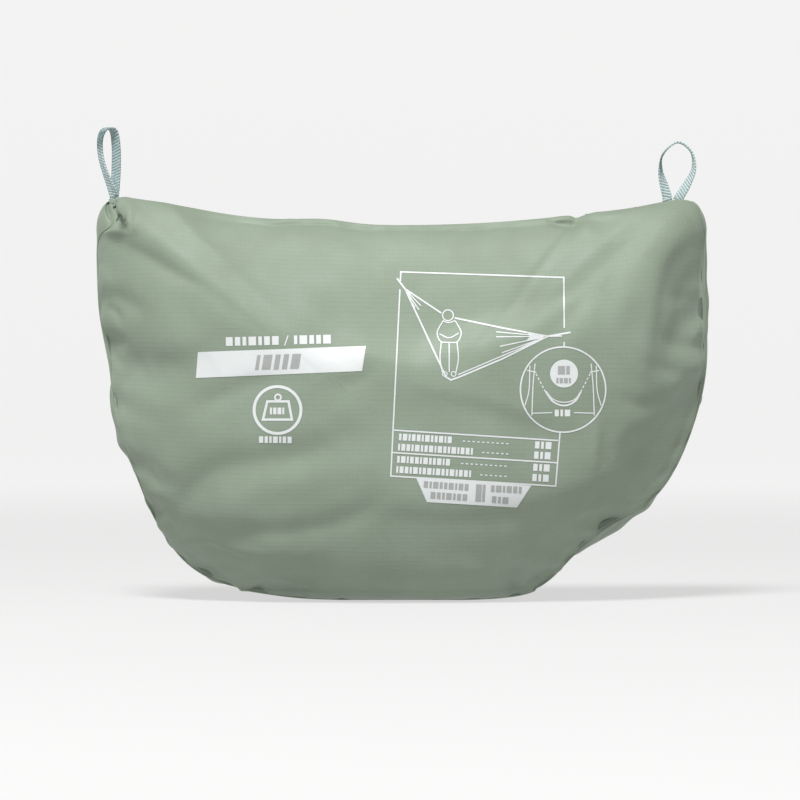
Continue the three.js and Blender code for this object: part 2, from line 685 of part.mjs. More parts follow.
const leftLoopX = -HALF_WIDTH + LEFT_LOOP_INSET;
const rightLoopX = HALF_WIDTH - RIGHT_LOOP_INSET;
add("left_loop", ribbon(LEFT_LOOP_ROUTE), "webbing", loopFoot(leftLoopX, WEBBING_WIDTH / 2));
add("right_loop", ribbon(RIGHT_LOOP_ROUTE), "webbing", loopFoot(rightLoopX, WEBBING_WIDTH + GAP));

add("hammock_bed", hammockBed(), "ripstop");
for (const [name, side] of [["left", -1], ["right", 1]]) {
  add(`gather_cord_${name}`, gatherRing(side, CORD_DIAMETER / 2), "cord");
  const carabiner = vec(side * HANK_CENTRE_X, CARABINER_Y, SPINE_Z + ROD_HALF_WIDTH);
  const mirrored = (geometry) => facingOut(mergeVertices(geometry.clone().scale(side, 1, 1)));
  add(`carabiner_${name}`, mirrored(carabinerBody()), "aluminium", carabiner);
  add(`gate_${name}`, mirrored(carabinerGate()), "aluminium", carabiner);
  add(`gate_pin_${name}`, mirrored(gatePin()), "steel", carabiner);
  const hank = vec(side * HANK_CENTRE_X, HANK_FRONT_Y + HANK_DEPTH / 2, HANK_BOTTOM_Z + HANK_HEIGHT / 2);
  add(`tree_rope_${name}`, ropeHank(), "rope", hank);
  add(`rope_tie_${name}`, ropeTie(), "cord", hank);
}

export default hammock;
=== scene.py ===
"""The looks of a camping hammock packed in its half-moon pouch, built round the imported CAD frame.

Metres, in the frame's axes: X along the pouch, the front panel faces -Y, +Z up. MM turns millimetres
into metres.
"""

import json
import math

import bmesh
import bpy
import numpy as np
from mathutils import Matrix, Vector
from mathutils.bvhtree import BVHTree

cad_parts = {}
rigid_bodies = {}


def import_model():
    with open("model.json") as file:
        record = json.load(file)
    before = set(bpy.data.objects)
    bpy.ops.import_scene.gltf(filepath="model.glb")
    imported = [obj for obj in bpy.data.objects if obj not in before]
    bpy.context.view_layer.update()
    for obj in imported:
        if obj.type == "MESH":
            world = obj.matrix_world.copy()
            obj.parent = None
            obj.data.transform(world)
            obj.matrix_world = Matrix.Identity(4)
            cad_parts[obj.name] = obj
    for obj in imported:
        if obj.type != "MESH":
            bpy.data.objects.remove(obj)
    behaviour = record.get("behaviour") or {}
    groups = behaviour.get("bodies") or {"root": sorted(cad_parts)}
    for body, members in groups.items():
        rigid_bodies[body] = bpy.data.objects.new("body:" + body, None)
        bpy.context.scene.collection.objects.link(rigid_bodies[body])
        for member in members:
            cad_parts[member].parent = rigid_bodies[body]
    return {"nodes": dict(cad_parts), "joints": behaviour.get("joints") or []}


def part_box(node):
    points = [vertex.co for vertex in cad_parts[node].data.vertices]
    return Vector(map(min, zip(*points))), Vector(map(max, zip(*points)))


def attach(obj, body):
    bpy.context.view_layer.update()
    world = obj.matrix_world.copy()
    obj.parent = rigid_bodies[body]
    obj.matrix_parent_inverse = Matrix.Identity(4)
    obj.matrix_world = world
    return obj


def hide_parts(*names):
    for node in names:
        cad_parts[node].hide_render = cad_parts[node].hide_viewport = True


MM = 0.001
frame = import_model()
nodes = frame["nodes"]
joints = {joint["name"]: joint for joint in frame["joints"]}
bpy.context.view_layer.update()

# ---------------------------------------------------------------- sizes read from the frame
panel_low, panel_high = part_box("front_panel")
HALF_WIDTH = panel_high.x
CORNER_Z = panel_high.z
HALF_DEPTH = -panel_low.y
MOUTH_HALF_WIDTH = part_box("zip_tape_back")[1].y + 0.3 * MM

# ---------------------------------------------------------------- the pouch's shape
CORNER_WIDTH = 15.5 * MM
CORNER_DROP = 14 * MM
CORNER_LIFT = 1.5 * MM
CORNER_LEAN = 2 * MM
SIDE_LENGTH = 36 * MM
TOP_DIP = 13 * MM
BOTTOM_POWER = 2.4
BASE_SINK = 4 * MM
CORE_Z = 85 * MM  # the height of the point that the padded profile swells from
FULLNESS = 2.4
MOUTH_TAPER = 20 * MM
HEM_DEPTH = 7 * MM
CLOTH_THICKNESS = 0.3 * MM
TOP_HALF_CHORD = HALF_WIDTH - CORNER_WIDTH
TOP_RADIUS = (TOP_HALF_CHORD**2 + TOP_DIP**2) / (2 * TOP_DIP)
TOP_CENTRE_Z = CORNER_Z - TOP_DIP + TOP_RADIUS
MOUTH_HALF_LENGTH = TOP_HALF_CHORD - MOUTH_TAPER
CORNER_BEARING = math.atan2(TOP_HALF_CHORD, CORNER_Z - CORE_Z)
DRAPE_CELLS = 128  # cells along each side of a panel's grid while its cloth is simulated
CELLS = 2 * DRAPE_CELLS  # and afterwards
RIM_CROWDING = 1.3  # over 1, a panel's cells get finer towards its seam

# ---------------------------------------------------------------- small tools
def bump(value, centre, width):
    """A smooth hill of height 1."""
    return np.exp(-(((value - centre) / width) ** 2))


def smoothstep(value, low, high):
    t = np.clip((value - low) / (high - low), 0, 1)
    return t * t * (3 - 2 * t)


def unit(vectors):
    """Vectors scaled to length 1."""
    return vectors / np.linalg.norm(vectors, axis=-1, keepdims=True)


def lengths_along(path):
    """The distance walked from a path's start to each of its points."""
    return np.concatenate([[0], np.cumsum(np.linalg.norm(np.diff(path, axis=0), axis=1))])


def read(collection, field, width=1, kind=float):
    """One field of everything in a mesh's collection, as an array."""
    values = np.zeros(len(collection) * width, kind)
    collection.foreach_get(field, values)
    return values.reshape(-1, width) if width > 1 else values


def coordinates_of(obj):
    return read(obj.data.vertices, "co", 3)


def normals_of(obj):
    return read(obj.data.vertices, "normal", 3)


def move_points(obj, co):
    obj.data.vertices.foreach_set("co", np.asarray(co, float).ravel())
    obj.data.update()


def pattern_of(obj):
    """Where each point of a mesh lies on its flat cloth."""
    flat = np.zeros((len(obj.data.vertices), 2))
    flat[read(obj.data.loops, "vertex_index", kind=int)] = read(obj.data.uv_layers["cloth"].data, "uv", 2)
    return flat


def link(name, data):
    obj = bpy.data.objects.new(name, data)
    bpy.context.scene.collection.objects.link(obj)
    return obj


def make_object(name, vertices, faces, pattern=None):
    """A smooth-shaded mesh object. Pattern is the place of each point on its flat cloth."""
    mesh = bpy.data.meshes.new(name)
    mesh.from_pydata([tuple(v) for v in vertices], [], [tuple(f) for f in faces])
    if pattern is not None:
        corners = read(mesh.loops, "vertex_index", kind=int)
        layer = mesh.uv_layers.new(name="cloth")
        layer.data.foreach_set("uv", np.asarray(pattern, np.float32)[corners].ravel())
    mesh.polygons.foreach_set("use_smooth", np.ones(len(mesh.polygons), bool))
    mesh.update()
    return link(name, mesh)


def finish_piece(obj, body, slot, material, *replaced):
    """Gives a finished piece its material and its body. The slot argument is not used."""
    obj.data.materials.clear()
    obj.data.materials.append(material)
    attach(obj, body)
    if replaced:
        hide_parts(*replaced)
    return obj


def apply_modifiers(obj):
    """Turns the modified shape into the object's own mesh."""
    graph = bpy.context.evaluated_depsgraph_get()
    mesh = bpy.data.meshes.new_from_object(obj.evaluated_get(graph))
    obj.modifiers.clear()
    obj.data = mesh
    return obj


def curve_through(points, samples):
    """Evenly spaced places on a smooth line through the points, by Catmull-Rom."""
    points = np.asarray(points, float)
    padded = np.vstack([2 * points[0] - points[1], points, 2 * points[-1] - points[-2]])
    fine = []
    for i in range(len(points) - 1):
        a, b, c, d = padded[i : i + 4]
        t = np.linspace(0, 1, 24, endpoint=False)[:, None]
        square = (2 * a - 5 * b + 4 * c - d) * t**2
        cube = (3 * b - a - 3 * c + d) * t**3
        fine.append(0.5 * (2 * b + (c - a) * t + square + cube))
    fine = np.vstack([*fine, points[-1:]])
    length = lengths_along(fine[:, :3])
    even = np.linspace(0, length[-1], samples)
    return np.stack([np.interp(even, length, fine[:, k]) for k in range(fine.shape[1])], 1)


# ---------------------------------------------------------------- camera
VIEW_WIDTH = 0.4  # width of the picture in the plane of the pouch
CAMERA_DISTANCE = 1.7
SENSOR = 36.0


def make_camera():
    data = bpy.data.cameras.new("camera")
    data.sensor_width = SENSOR
    data.lens = SENSOR * CAMERA_DISTANCE / VIEW_WIDTH
    camera = link("camera", data)
    camera.location = (-1 * MM, -CAMERA_DISTANCE, CORNER_Z / 2)
    camera.rotation_euler = (math.pi / 2, 0, 0)
    bpy.context.scene.camera = camera
    return camera


camera = make_camera()


# ---------------------------------------------------------------- node materials
class Material:
    """A new material, with short names for adding and joining its nodes."""

    def __init__(self, name, roughness, metallic=0.0, specular=0.5, sheen=0.0):
        self.made = bpy.data.materials.new(name)
        self.made.use_nodes = True
        self.tree = self.made.node_tree
        self.set("Roughness", roughness)
        self.set("Metallic", metallic)
        self.set("Specular IOR Level", specular)
        self.set("Sheen Weight", sheen)

    def set(self, name, value):
        """Gives one of the shader's own sockets a plain value or the output of a node."""
        self.join(value, self.tree.nodes["Principled BSDF"].inputs[name])

    def join(self, value, socket):
        if isinstance(value, bpy.types.NodeSocket):
            self.tree.links.new(value, socket)
        else:
            socket.default_value = value

    def math(self, kind, a, b=0.0, clamp=False):
        node = self.tree.nodes.new("ShaderNodeMath")
        node.operation = kind
        node.use_clamp = clamp
        self.join(a, node.inputs[0])
        self.join(b, node.inputs[1])
        return node.outputs[0]

    def coordinates(self, kind="Object"):
        return self.tree.nodes.new("ShaderNodeTexCoord").outputs[kind]

    def split(self, vector):
        node = self.tree.nodes.new("ShaderNodeSeparateXYZ")
        self.join(vector, node.inputs[0])
        return node.outputs

    def noise(self, vector, scale, detail=3.0, roughness=0.5):
        node = self.tree.nodes.new("ShaderNodeTexNoise")
        node.inputs["Scale"].default_value = scale
        node.inputs["Detail"].default_value = detail
        node.inputs["Roughness"].default_value = roughness
        self.join(vector, node.inputs["Vector"])
        return node.outputs["Fac"]

    def spread(self, value, low, high, new_low=0.0, new_high=1.0, smooth=False):
        node = self.tree.nodes.new("ShaderNodeMapRange")
        node.interpolation_type = "SMOOTHSTEP" if smooth else "LINEAR"
        self.join(value, node.inputs["Value"])
        limits = {"From Min": low, "From Max": high, "To Min": new_low, "To Max": new_high}
        for name, number in limits.items():
            node.inputs[name].default_value = number
        return node.outputs["Result"]

    def mix(self, share, first, second, kind="MIX"):
        node = self.tree.nodes.new("ShaderNodeMix")
        node.data_type = "RGBA"
        node.blend_type = kind
        self.join(share, node.inputs["Factor"])
        for socket, value in zip(node.inputs[6:8], (first, second)):
            self.join(value if isinstance(value, bpy.types.NodeSocket) else (*value, 1), socket)
        return node.outputs[2]

    def bump(self, height, distance, strength=1.0, under=None):
        node = self.tree.nodes.new("ShaderNodeBump")
        node.inputs["Strength"].default_value = strength
        node.inputs["Distance"].default_value = distance
        self.join(height, node.inputs["Height"])
        if under is not None:
            self.join(under, node.inputs["Normal"])
        return node.outputs["Normal"]

    def ribs(self, coordinate, pitch, sharpness=1.0):
        """A row of rounded ribs of height 0 to 1, one for each pitch."""
        wave = self.math("SINE", self.math("MULTIPLY", coordinate, 2 * math.pi / pitch))
        height = self.math("MULTIPLY_ADD", wave, 0.5)
        height.node.inputs[2].default_value = 0.5
        return height if sharpness == 1 else self.math("POWER", height, sharpness)


RIPSTOP_PITCH = 2.4 * MM
CLOTH_GREEN = (0.214, 0.262, 0.205)
CLOTH_SHADE = (0.185, 0.228, 0.172)
INK_WHITE = (0.57, 0.59, 0.6)
INK_GREY = (0.27, 0.28, 0.27)


def ripstop_material(name="ripstop_nylon", green=CLOTH_GREEN, shade=CLOTH_SHADE):
    """Thin silky nylon with a grid of thicker threads, the ones across the pouch a little stronger."""
    n = Material(name, 0.55, specular=0.28, sheen=0.12)
    cloth_x, cloth_z, _ = n.split(n.coordinates("UV"))
    across = n.ribs(cloth_z, RIPSTOP_PITCH, 9.0)
    upright = n.ribs(cloth_x, RIPSTOP_PITCH, 14.0)
    place = n.coordinates()
    slub = n.noise(place, 420.0, 2.0)
    across = n.math("MULTIPLY", across, n.spread(slub, 0.3, 0.65, 0.35, 1.0))
    grid = n.math("MAXIMUM", across, n.math("MULTIPLY", upright, 0.45))
    blotches = n.spread(n.noise(place, 26.0, 4.0, 0.6), 0.3, 0.7)
    colour = n.mix(blotches, shade, green)
    colour = n.mix(n.math("MULTIPLY", grid, 0.17), colour, (0.12, 0.16, 0.115))
    n.set("Base Color", colour)
    n.set("Roughness", n.spread(blotches, 0, 1, 0.6, 0.52))
    threads = n.math("MULTIPLY", n.ribs(cloth_x, 0.3 * MM), n.ribs(cloth_z, 0.3 * MM))
    crinkle = n.noise(place, 160.0, 3.0, 0.55)
    normal = n.bump(crinkle, 0.35 * MM, 0.35)
    normal = n.bump(threads, 0.03 * MM, 0.4, normal)
    normal = n.bump(grid, 0.07 * MM, 0.5, normal)
    n.set("Normal", normal)
    n.set("Sheen Roughness", 0.4)
    return n.made


def ink_material(name, tint, worn):
    """Screen-printed ink, a little thinner over the threads of the cloth."""
    n = Material(name, 0.5)
    place = n.coordinates()
    thin = n.spread(n.noise(place, 1500.0, 2.0), 0.35, 0.7)
    cloudy = n.spread(n.noise(place, 70.0, 3.0), 0.3, 0.7)
    colour = n.mix(n.math("MULTIPLY", thin, 0.25), tint, worn)
    n.set("Base Color", n.mix(n.math("MULTIPLY", cloudy, 0.12), colour, worn))
    n.set("Normal", n.bump(thin, 0.05 * MM, 0.4))
    return n.made


RIB_PITCH = 1.5 * MM


def webbing_material():
    """Narrow grey-blue webbing with fine ribs across it. The light attribute paints shade on it: dark teal
    where it is low, pale where it is high.
    """
    n = Material("loop_webbing", 0.62, specular=0.35, sheen=0.15)
    across, along, _ = n.split(n.coordinates("UV"))
    rib = n.ribs(n.math("ADD", along, n.math("MULTIPLY", across, 0.45)), RIB_PITCH, 1.6)
    yarn = n.ribs(across, 0.55 * MM)
    fleck = n.noise(n.coordinates(), 900.0, 2.0)
    attribute = n.tree.nodes.new("ShaderNodeAttribute")
    attribute.attribute_name = "light"
    # Painted shade: where the light attribute is low, the webbing is painted dark teal, on the faces that
    # turn from the light.
    colour = n.mix(attribute.outputs["Fac"], (0.07, 0.13, 0.135), (0.56, 0.68, 0.68))
    colour = n.mix(rib, n.mix(0.62, colour, (0.05, 0.1, 0.105)), colour)
    colour = n.mix(n.spread(fleck, 0.45, 0.75, 0, 0.3), colour, (0.62, 0.7, 0.7))
    n.set("Base Color", colour)
    height = n.math("ADD", rib, n.math("MULTIPLY", yarn, 0.4))
    n.set("Normal", n.bump(height, 0.3 * MM, 0.8))
    return n.made


def thread_material():
    n = Material("sewing_thread", 0.55)
    place = n.coordinates()
    twist = n.noise(place, 1800.0, 2.0)
    n.set("Base Color", n.mix(twist, (0.2, 0.26, 0.2), (0.36, 0.44, 0.36)))
    n.set("Normal", n.bump(twist, 0.08 * MM, 0.6))
    return n.made


RIPSTOP = ripstop_material()
WHITE_INK = ink_material("white_ink", INK_WHITE, (0.48, 0.53, 0.48))
GREY_INK = ink_material("grey_ink", INK_GREY, (0.4, 0.42, 0.4))
WEBBING = webbing_material()
THREAD = thread_material()


# ---------------------------------------------------------------- the pouch's outline and profile
def outline_points():
    """The right half of the pouch's outline as x, z pairs, from the top's middle to the bottom's."""
    x = np.linspace(0, TOP_HALF_CHORD, 60)[:-1]
    top = np.stack([x, TOP_CENTRE_Z - np.sqrt(TOP_RADIUS**2 - x**2)], 1)
    t = np.linspace(0, 1, 12)[:-1, None]
    corner_start = np.array([TOP_HALF_CHORD, CORNER_Z])
    corner_pull = np.array([HALF_WIDTH - CORNER_LEAN, CORNER_Z + CORNER_LIFT])
    corner_end = np.array([HALF_WIDTH, CORNER_Z - CORNER_DROP])
    corner = corner_start * (1 - t) ** 2 + 2 * corner_pull * t * (1 - t) + corner_end * t**2
    shoulder_z = corner_end[1] - SIDE_LENGTH
    side_z = np.linspace(corner_end[1], shoulder_z, 8)[:-1]
    side = np.stack([np.full_like(side_z, HALF_WIDTH), side_z], 1)
    angle = np.linspace(0, math.pi / 2, 80)
    bottom_x = HALF_WIDTH * np.maximum(np.cos(angle), 0) ** (2 / BOTTOM_POWER)
    bottom_z = shoulder_z - (shoulder_z + BASE_SINK) * np.sin(angle) ** (2 / BOTTOM_POWER)
    return np.concatenate([top, corner, side, np.stack([bottom_x, bottom_z], 1)])


OUTLINE = outline_points()
OUTLINE_BEARING = np.arctan2(OUTLINE[:, 0], OUTLINE[:, 1] - CORE_Z)
OUTLINE_RADIUS = np.hypot(OUTLINE[:, 0], OUTLINE[:, 1] - CORE_Z)

# How the stuffed cloth strays from the even outline: millimetres outward, bearing and spread in degrees.
OUTLINE_SAGS = [
    (8, -124, 14),
    (-5, -78, 9),
    (2.5, -47, 6),
    (2.2, -21, 8),
    (-0.7, 46.5, 4),
    (-2.6, 39.6, 1.1),
    (1, 80, 8),
    (-3, 113, 7),
    (-8, 125, 10),
]


def outline_radius(bearing):
    """Distance from the core to the outline. A bearing is 0 straight up and positive towards +X."""
    radius = np.interp(np.abs(bearing), OUTLINE_BEARING, OUTLINE_RADIUS)
    for amount, centre, width in OUTLINE_SAGS:
        radius = radius + amount * MM * bump(np.degrees(bearing), centre, width)
    return radius


def mouth_half_width(x):
    beyond = np.clip((np.abs(x) - MOUTH_HALF_LENGTH) / MOUTH_TAPER, 0, 1)
    return MOUTH_HALF_WIDTH * (1 - beyond) + 0.15 * MM * beyond


def seam_lead(bearing):
    """How far, as an angle of the padded profile, the seam lies in front of the widest point."""
    degrees = np.degrees(bearing)
    sides = smoothstep(np.abs(degrees), 50.5, 55) * (1 - smoothstep(np.abs(degrees), 135, 165))
    waves = 0.07 * np.sin(np.radians(degrees * 7 + 20))
    left = 0.22 * bump(degrees, -54.5, 3) + 0.06 * bump(degrees, -64, 5) + 0.07 * bump(degrees, -100, 8)
    right_low = 0.14 * bump(degrees, 117, 9)
    return sides * (0.1 + waves) + sides * (left + right_low)


BACK_LIP_DROP = 1.2 * MM  # how much lower the back's lip lies at the mouth, where the zip pulls it in
CORNER_SLIT = 6 * MM  # how far the seam is drawn back where the left corner is pinched


def dome(side, bearing, reach):
    """Places on a panel, from reach 0 at its middle to 1 on its seam. Side is -1 for the front, else 1."""
    angle = reach * (math.pi / 2 + side * seam_lead(bearing))
    share = np.sin(angle)
    radius = outline_radius(bearing)
    x = radius * share * np.sin(bearing)
    z = CORE_Z + radius * share * np.cos(bearing)
    bulge = np.sign(math.pi / 2 - angle) * np.sqrt(np.maximum(0, 1 - share**FULLNESS))
    mouth = np.where(np.abs(bearing) <= CORNER_BEARING, mouth_half_width(radius * np.sin(bearing)), 0)
    y = side * (mouth + (HALF_DEPTH - mouth) * bulge)
    z = z - BACK_LIP_DROP * (side > 0) * mouth / MOUTH_HALF_WIDTH * smoothstep(reach, 0.8, 1)
    y = y + CORNER_SLIT * bump(np.degrees(bearing), -52.2, 2) * smoothstep(reach, 0.955, 1)
    return np.stack([x, y, z], -1)


def panel_grid(cells):
    """Bearing and reach of a panel's grid points: a square grid drawn out to a disc."""
    u, v = np.meshgrid(np.linspace(-1, 1, cells + 1), np.linspace(-1, 1, cells + 1), indexing="ij")
    disc_x = u * np.sqrt(1 - v**2 / 2)
    disc_z = v * np.sqrt(1 - u**2 / 2)
    reach = np.clip(np.hypot(disc_x, disc_z), 0, 1)
    return np.arctan2(disc_x, disc_z).ravel(), (1 - (1 - reach) ** RIM_CROWDING).ravel()


def grid_faces(rows, columns, flip=False, first=0):
    """The faces of a grid of points, numbered row by row."""
    faces = []
    for i in range(rows - 1):
        for j in range(columns - 1):
            a = first + i * columns + j
            quad = (a, a + 1, a + columns + 1, a + columns)
            faces.append(quad[::-1] if flip else quad)
    return faces


def rim_indices(cells):
    """The grid's boundary points in order, once round."""
    last, columns = cells, cells + 1
    bottom = [i * columns for i in range(last)]
    right = [last * columns + j for j in range(last)]
    top = [(last - i) * columns + last for i in range(last)]
    left = [last - j for j in range(last)]
    return bottom + right + top + left


RIM = rim_indices(CELLS)
BEARING, REACH = panel_grid(CELLS)
DRAPE_RIM = rim_indices(DRAPE_CELLS)
DRAPE_BEARING, DRAPE_REACH = panel_grid(DRAPE_CELLS)


def make_drape(name, side):
    """A panel on the coarse grid that its cloth is simulated on."""
    faces = grid_faces(DRAPE_CELLS + 1, DRAPE_CELLS + 1, flip=side < 0)
    return make_object(name, dome(side, DRAPE_BEARING, DRAPE_REACH), faces)


def refine(values):
    """Values on the coarse grid's points carried over to the fine grid, smoothly between the points."""
    grid = values.reshape(DRAPE_CELLS + 1, DRAPE_CELLS + 1, -1)
    for axis in (0, 1):
        grid = np.moveaxis(grid, axis, 0)
        padded = np.concatenate([2 * grid[:1] - grid[1:2], grid, 2 * grid[-1:] - grid[-2:-1]])
        finer = np.empty((2 * len(grid) - 1, *grid.shape[1:]))
        finer[::2] = grid
        finer[1::2] = (9 * (padded[1:-2] + padded[2:-1]) - padded[:-3] - padded[3:]) / 16
        grid = np.moveaxis(finer, 0, axis)
    return grid.reshape(-1, grid.shape[-1])


# ---------------------------------------------------------------- the cloth's own shape
def flatten_pattern(obj):
    """Unwraps a panel to its flat cloth pattern, in metres and the right way up."""
    bpy.context.view_layer.objects.active = obj
    for other in bpy.context.scene.objects:
        other.select_set(other == obj)
    obj.data.uv_layers.new(name="cloth")
    bpy.ops.object.mode_set(mode="EDIT")
    bpy.ops.mesh.select_all(action="SELECT")
    bpy.ops.uv.unwrap(method="MINIMUM_STRETCH", margin=0)
    bpy.ops.object.mode_set(mode="OBJECT")
    flat = pattern_of(obj)
    near = DRAPE_REACH < 0.4  # the middle of the panel, which is nearly flat
    target = coordinates_of(obj)[near][:, [0, 2]]
    source = flat[near] - flat[near].mean(0)
    u, size, vt = np.linalg.svd(source.T @ (target - target.mean(0)))
    turned = (flat - flat[near].mean(0)) @ u @ vt
    scale = size.sum() / (source**2).sum()
    return turned * scale + target.mean(0)


def add_cloth(obj):
    pinned = obj.vertex_groups.new(name="rim")
    pinned.add(DRAPE_RIM, 1.0, "REPLACE")
    settings = obj.modifiers.new("cloth", "CLOTH").settings
    settings.quality = 6
    settings.mass = 0.12
    settings.tension_stiffness = 30
    settings.compression_stiffness = 30
    settings.shear_stiffness = 12
    settings.bending_stiffness = 0.06
    settings.air_damping = 2
    settings.vertex_group_mass = "rim"
    settings.shrink_min = -0.02
    settings.use_pressure = True
    settings.uniform_pressure_force = 6
    settings.effector_weights.gravity = 0


def soften(field, passes=2):
    """Evens out a field on the coarse grid, so that no crease is one cell wide. Its rim stays as it is."""
    grid = field.reshape(DRAPE_CELLS + 1, DRAPE_CELLS + 1, -1).copy()
    for _ in range(passes):
        rows = (grid[:-2] + 2 * grid[1:-1] + grid[2:]) / 4
        grid[1:-1, 1:-1] = (rows[:, :-2] + 2 * rows[:, 1:-1] + rows[:, 2:]) / 4
    return grid.reshape(field.shape)


SETTLE_FRAMES = 22
MOST_SWELLING = 4 * MM
CALM_RADIUS = 64 * MM  # the cloth round each top corner is drawn smooth by its loop


def settle(objects):
    """Lets the cloth, cut a little larger than its place, swell and pucker between its sewn edges.

    Returns how far each point of each panel moves.
    """
    before = [coordinates_of(obj) for obj in objects]
    for obj in objects:
        add_cloth(obj)
    scene = bpy.context.scene
    scene.frame_start, scene.frame_end = 1, SETTLE_FRAMES
    for number in range(1, SETTLE_FRAMES + 1):
        scene.frame_set(number)
    graph = bpy.context.evaluated_depsgraph_get()
    moves = []
    for obj, start, lip_hold in zip(objects, before, (0.5, 0.85)):
        moved = read(obj.evaluated_get(graph).data.vertices, "co", 3) - start
        corner = np.hypot(np.abs(start[:, 0]) - HALF_WIDTH, start[:, 2] - CORNER_Z)
        at_mouth = (np.abs(DRAPE_BEARING) < CORNER_BEARING) * smoothstep(DRAPE_REACH, 0.78, 0.96)
        calm = 0.06 + 0.94 * smoothstep(corner, 0.45 * CALM_RADIUS, CALM_RADIUS)
        moved *= (calm * (1 - lip_hold * at_mouth))[:, None]
        far = np.linalg.norm(moved, axis=1, keepdims=True)
        moves.append(soften(moved * np.minimum(1, MOST_SWELLING / np.maximum(far, 1e-9))))
    return moves


def make_panels():
    """The front and back panels with their cloth settled, and a flat pattern for their weave."""
    drapes = [make_drape("front_drape", -1), make_drape("back_drape", 1)]
    patterns = [flatten_pattern(drape) for drape in drapes]
    moves = settle(drapes)
    panels = []
    for name, side, pattern, move in zip(("pouch_front", "pouch_back"), (-1, 1), patterns, moves):
        vertices = dome(side, BEARING, REACH) + refine(move)
        faces = grid_faces(CELLS + 1, CELLS + 1, flip=side < 0)
        panels.append(make_object(name, vertices, faces, refine(pattern)))
    for drape in drapes:
        bpy.data.objects.remove(drape)
    return panels


front, back = make_panels()


# ---------------------------------------------------------------- folds and creases
def fold(co, points, width, depth, ledge=0.0):
    """How far a crease along some x, z points in millimetres lifts the cloth there.

    Depth is the crease's own height, negative for a valley. Ledge lifts the cloth on its left-hand side,
    looking along the points, above that on its right-hand side.
    """
    line = curve_through(np.array(points, float) * MM, 40)
    nearest = np.full(len(co), np.inf)
    along = np.zeros(len(co))
    across = np.zeros(len(co))
    ahead = unit(np.gradient(line, axis=0))
    for k, (spot, direction) in enumerate(zip(line, ahead)):
        offset = co[:, [0, 2]] - spot
        distance = np.hypot(*offset.T)
        closer = distance < nearest
        nearest[closer] = distance[closer]
        along[closer] = k / (len(line) - 1)
        across[closer] = (direction[0] * offset[:, 1] - direction[1] * offset[:, 0])[closer]
    taper = np.sqrt(np.clip(np.sin(math.pi * np.clip(along, 0.02, 0.98)), 0, 1))
    reach = np.exp(-((nearest / (width * MM)) ** 2))
    wide = np.exp(-((nearest / (3 * width * MM)) ** 2))
    step = np.tanh(across / (0.6 * width * MM)) * wide
    return (depth * reach + ledge * step) * taper * MM


# Creases of the front panel: x, z points, width, depth and ledge, all in millimetres.
FRONT_FOLDS = [
    # the pinched left corner, its slit and the roll of cloth below it
    ([(-144.5, 203), (-144.3, 197), (-143.2, 190)], 1.7, -5.0),
    ([(-138, 199), (-134.6, 193), (-136, 187), (-141, 183.5), (-150, 186.5)], 2.6, 2.2),
    ([(-143, 193), (-140.5, 190.5), (-138.8, 188)], 2.2, -3.6),
    ([(-147, 183), (-132, 176), (-113, 165.5), (-98, 159)], 5.5, -1.2, 1.5),
    ([(-150, 168), (-147, 158), (-146, 150)], 4, 1.2),
    # puckers along the left seam
    ([(-149, 156), (-139, 151), (-127, 144)], 5, -1.5, 0.7),
    ([(-147, 147), (-141.5, 142), (-140, 138)], 2, -0.9),
    ([(-149, 131), (-143, 129), (-136, 127)], 4, -1.5),
    ([(-149, 121), (-143, 117), (-134, 112)], 4, 1.1),
    ([(-146, 94), (-132, 91), (-118, 92)], 6, -0.9),
    # soft folds under the printed band
    ([(-15, 117), (-20, 110.5), (-36, 106)], 3, -0.9, -0.2),
    ([(-50, 110.5), (-72, 108.5), (-86, 103), (-100, 97)], 4.5, -1.0, -0.2),
    ([(-44, 84), (-30, 92), (-10, 97)], 8, 0.8),
    # long folds that fan out from the lower left
    ([(-30, 82), (-50, 75), (-69, 71.5), (-93, 66), (-108, 53), (-112, 42)], 7, -1.5, -0.6),
    ([(-25, 66), (-60, 58), (-95, 47)], 7, 1.0),
    ([(-12, 52), (-30, 41), (-65, 36), (-97, 36), (-112, 40)], 6, -1.5, -0.5),
    ([(-60, 27), (-85, 25), (-105, 27)], 5, 0.9),
    # the belly's turn below the printed drawing
    ([(75, 88), (64, 91), (38, 99), (5, 106)], 5, 0.5, -0.8),
    ([(10, 40), (40, 36), (75, 42)], 7, 0.9),
    ([(20, 24), (45, 22), (70, 27)], 6, -0.9),
    ([(-14, 47), (30, 43), (80, 50), (112, 66)], 9, -0.4, 2.0),
    ([(-96, 128), (-108, 122), (-124, 121)], 8, 0, -1.2),
    # the notch in the top edge
    ([(72, 190), (80, 187), (88, 187)], 2.2, -1.8),
    ([(88, 190), (92, 184), (97, 178)], 4, 0.9),
    # the turn of the right side, and the puckers that run in from its seam
    ([(148, 186), (133, 173), (127, 158), (124, 140), (120, 108)], 7, 1.0, -2.2),
    ([(150, 172), (139, 160), (134, 140), (128, 112)], 7, 0.2, -1.3),
    ([(152, 152), (143, 150), (130, 152)], 4, -0.9),
    ([(152, 128), (142, 127), (128, 131)], 4, -1.1),
    ([(150, 112), (140, 112), (120, 118)], 4, -0.9),
    ([(134, 100), (118, 97), (106, 102)], 4, -1.1),
    ([(97, 92), (96.5, 80), (95, 64)], 4, 0.5, -1.0),
    ([(118, 60), (108, 48), (100, 36)], 6, -1.0),
]

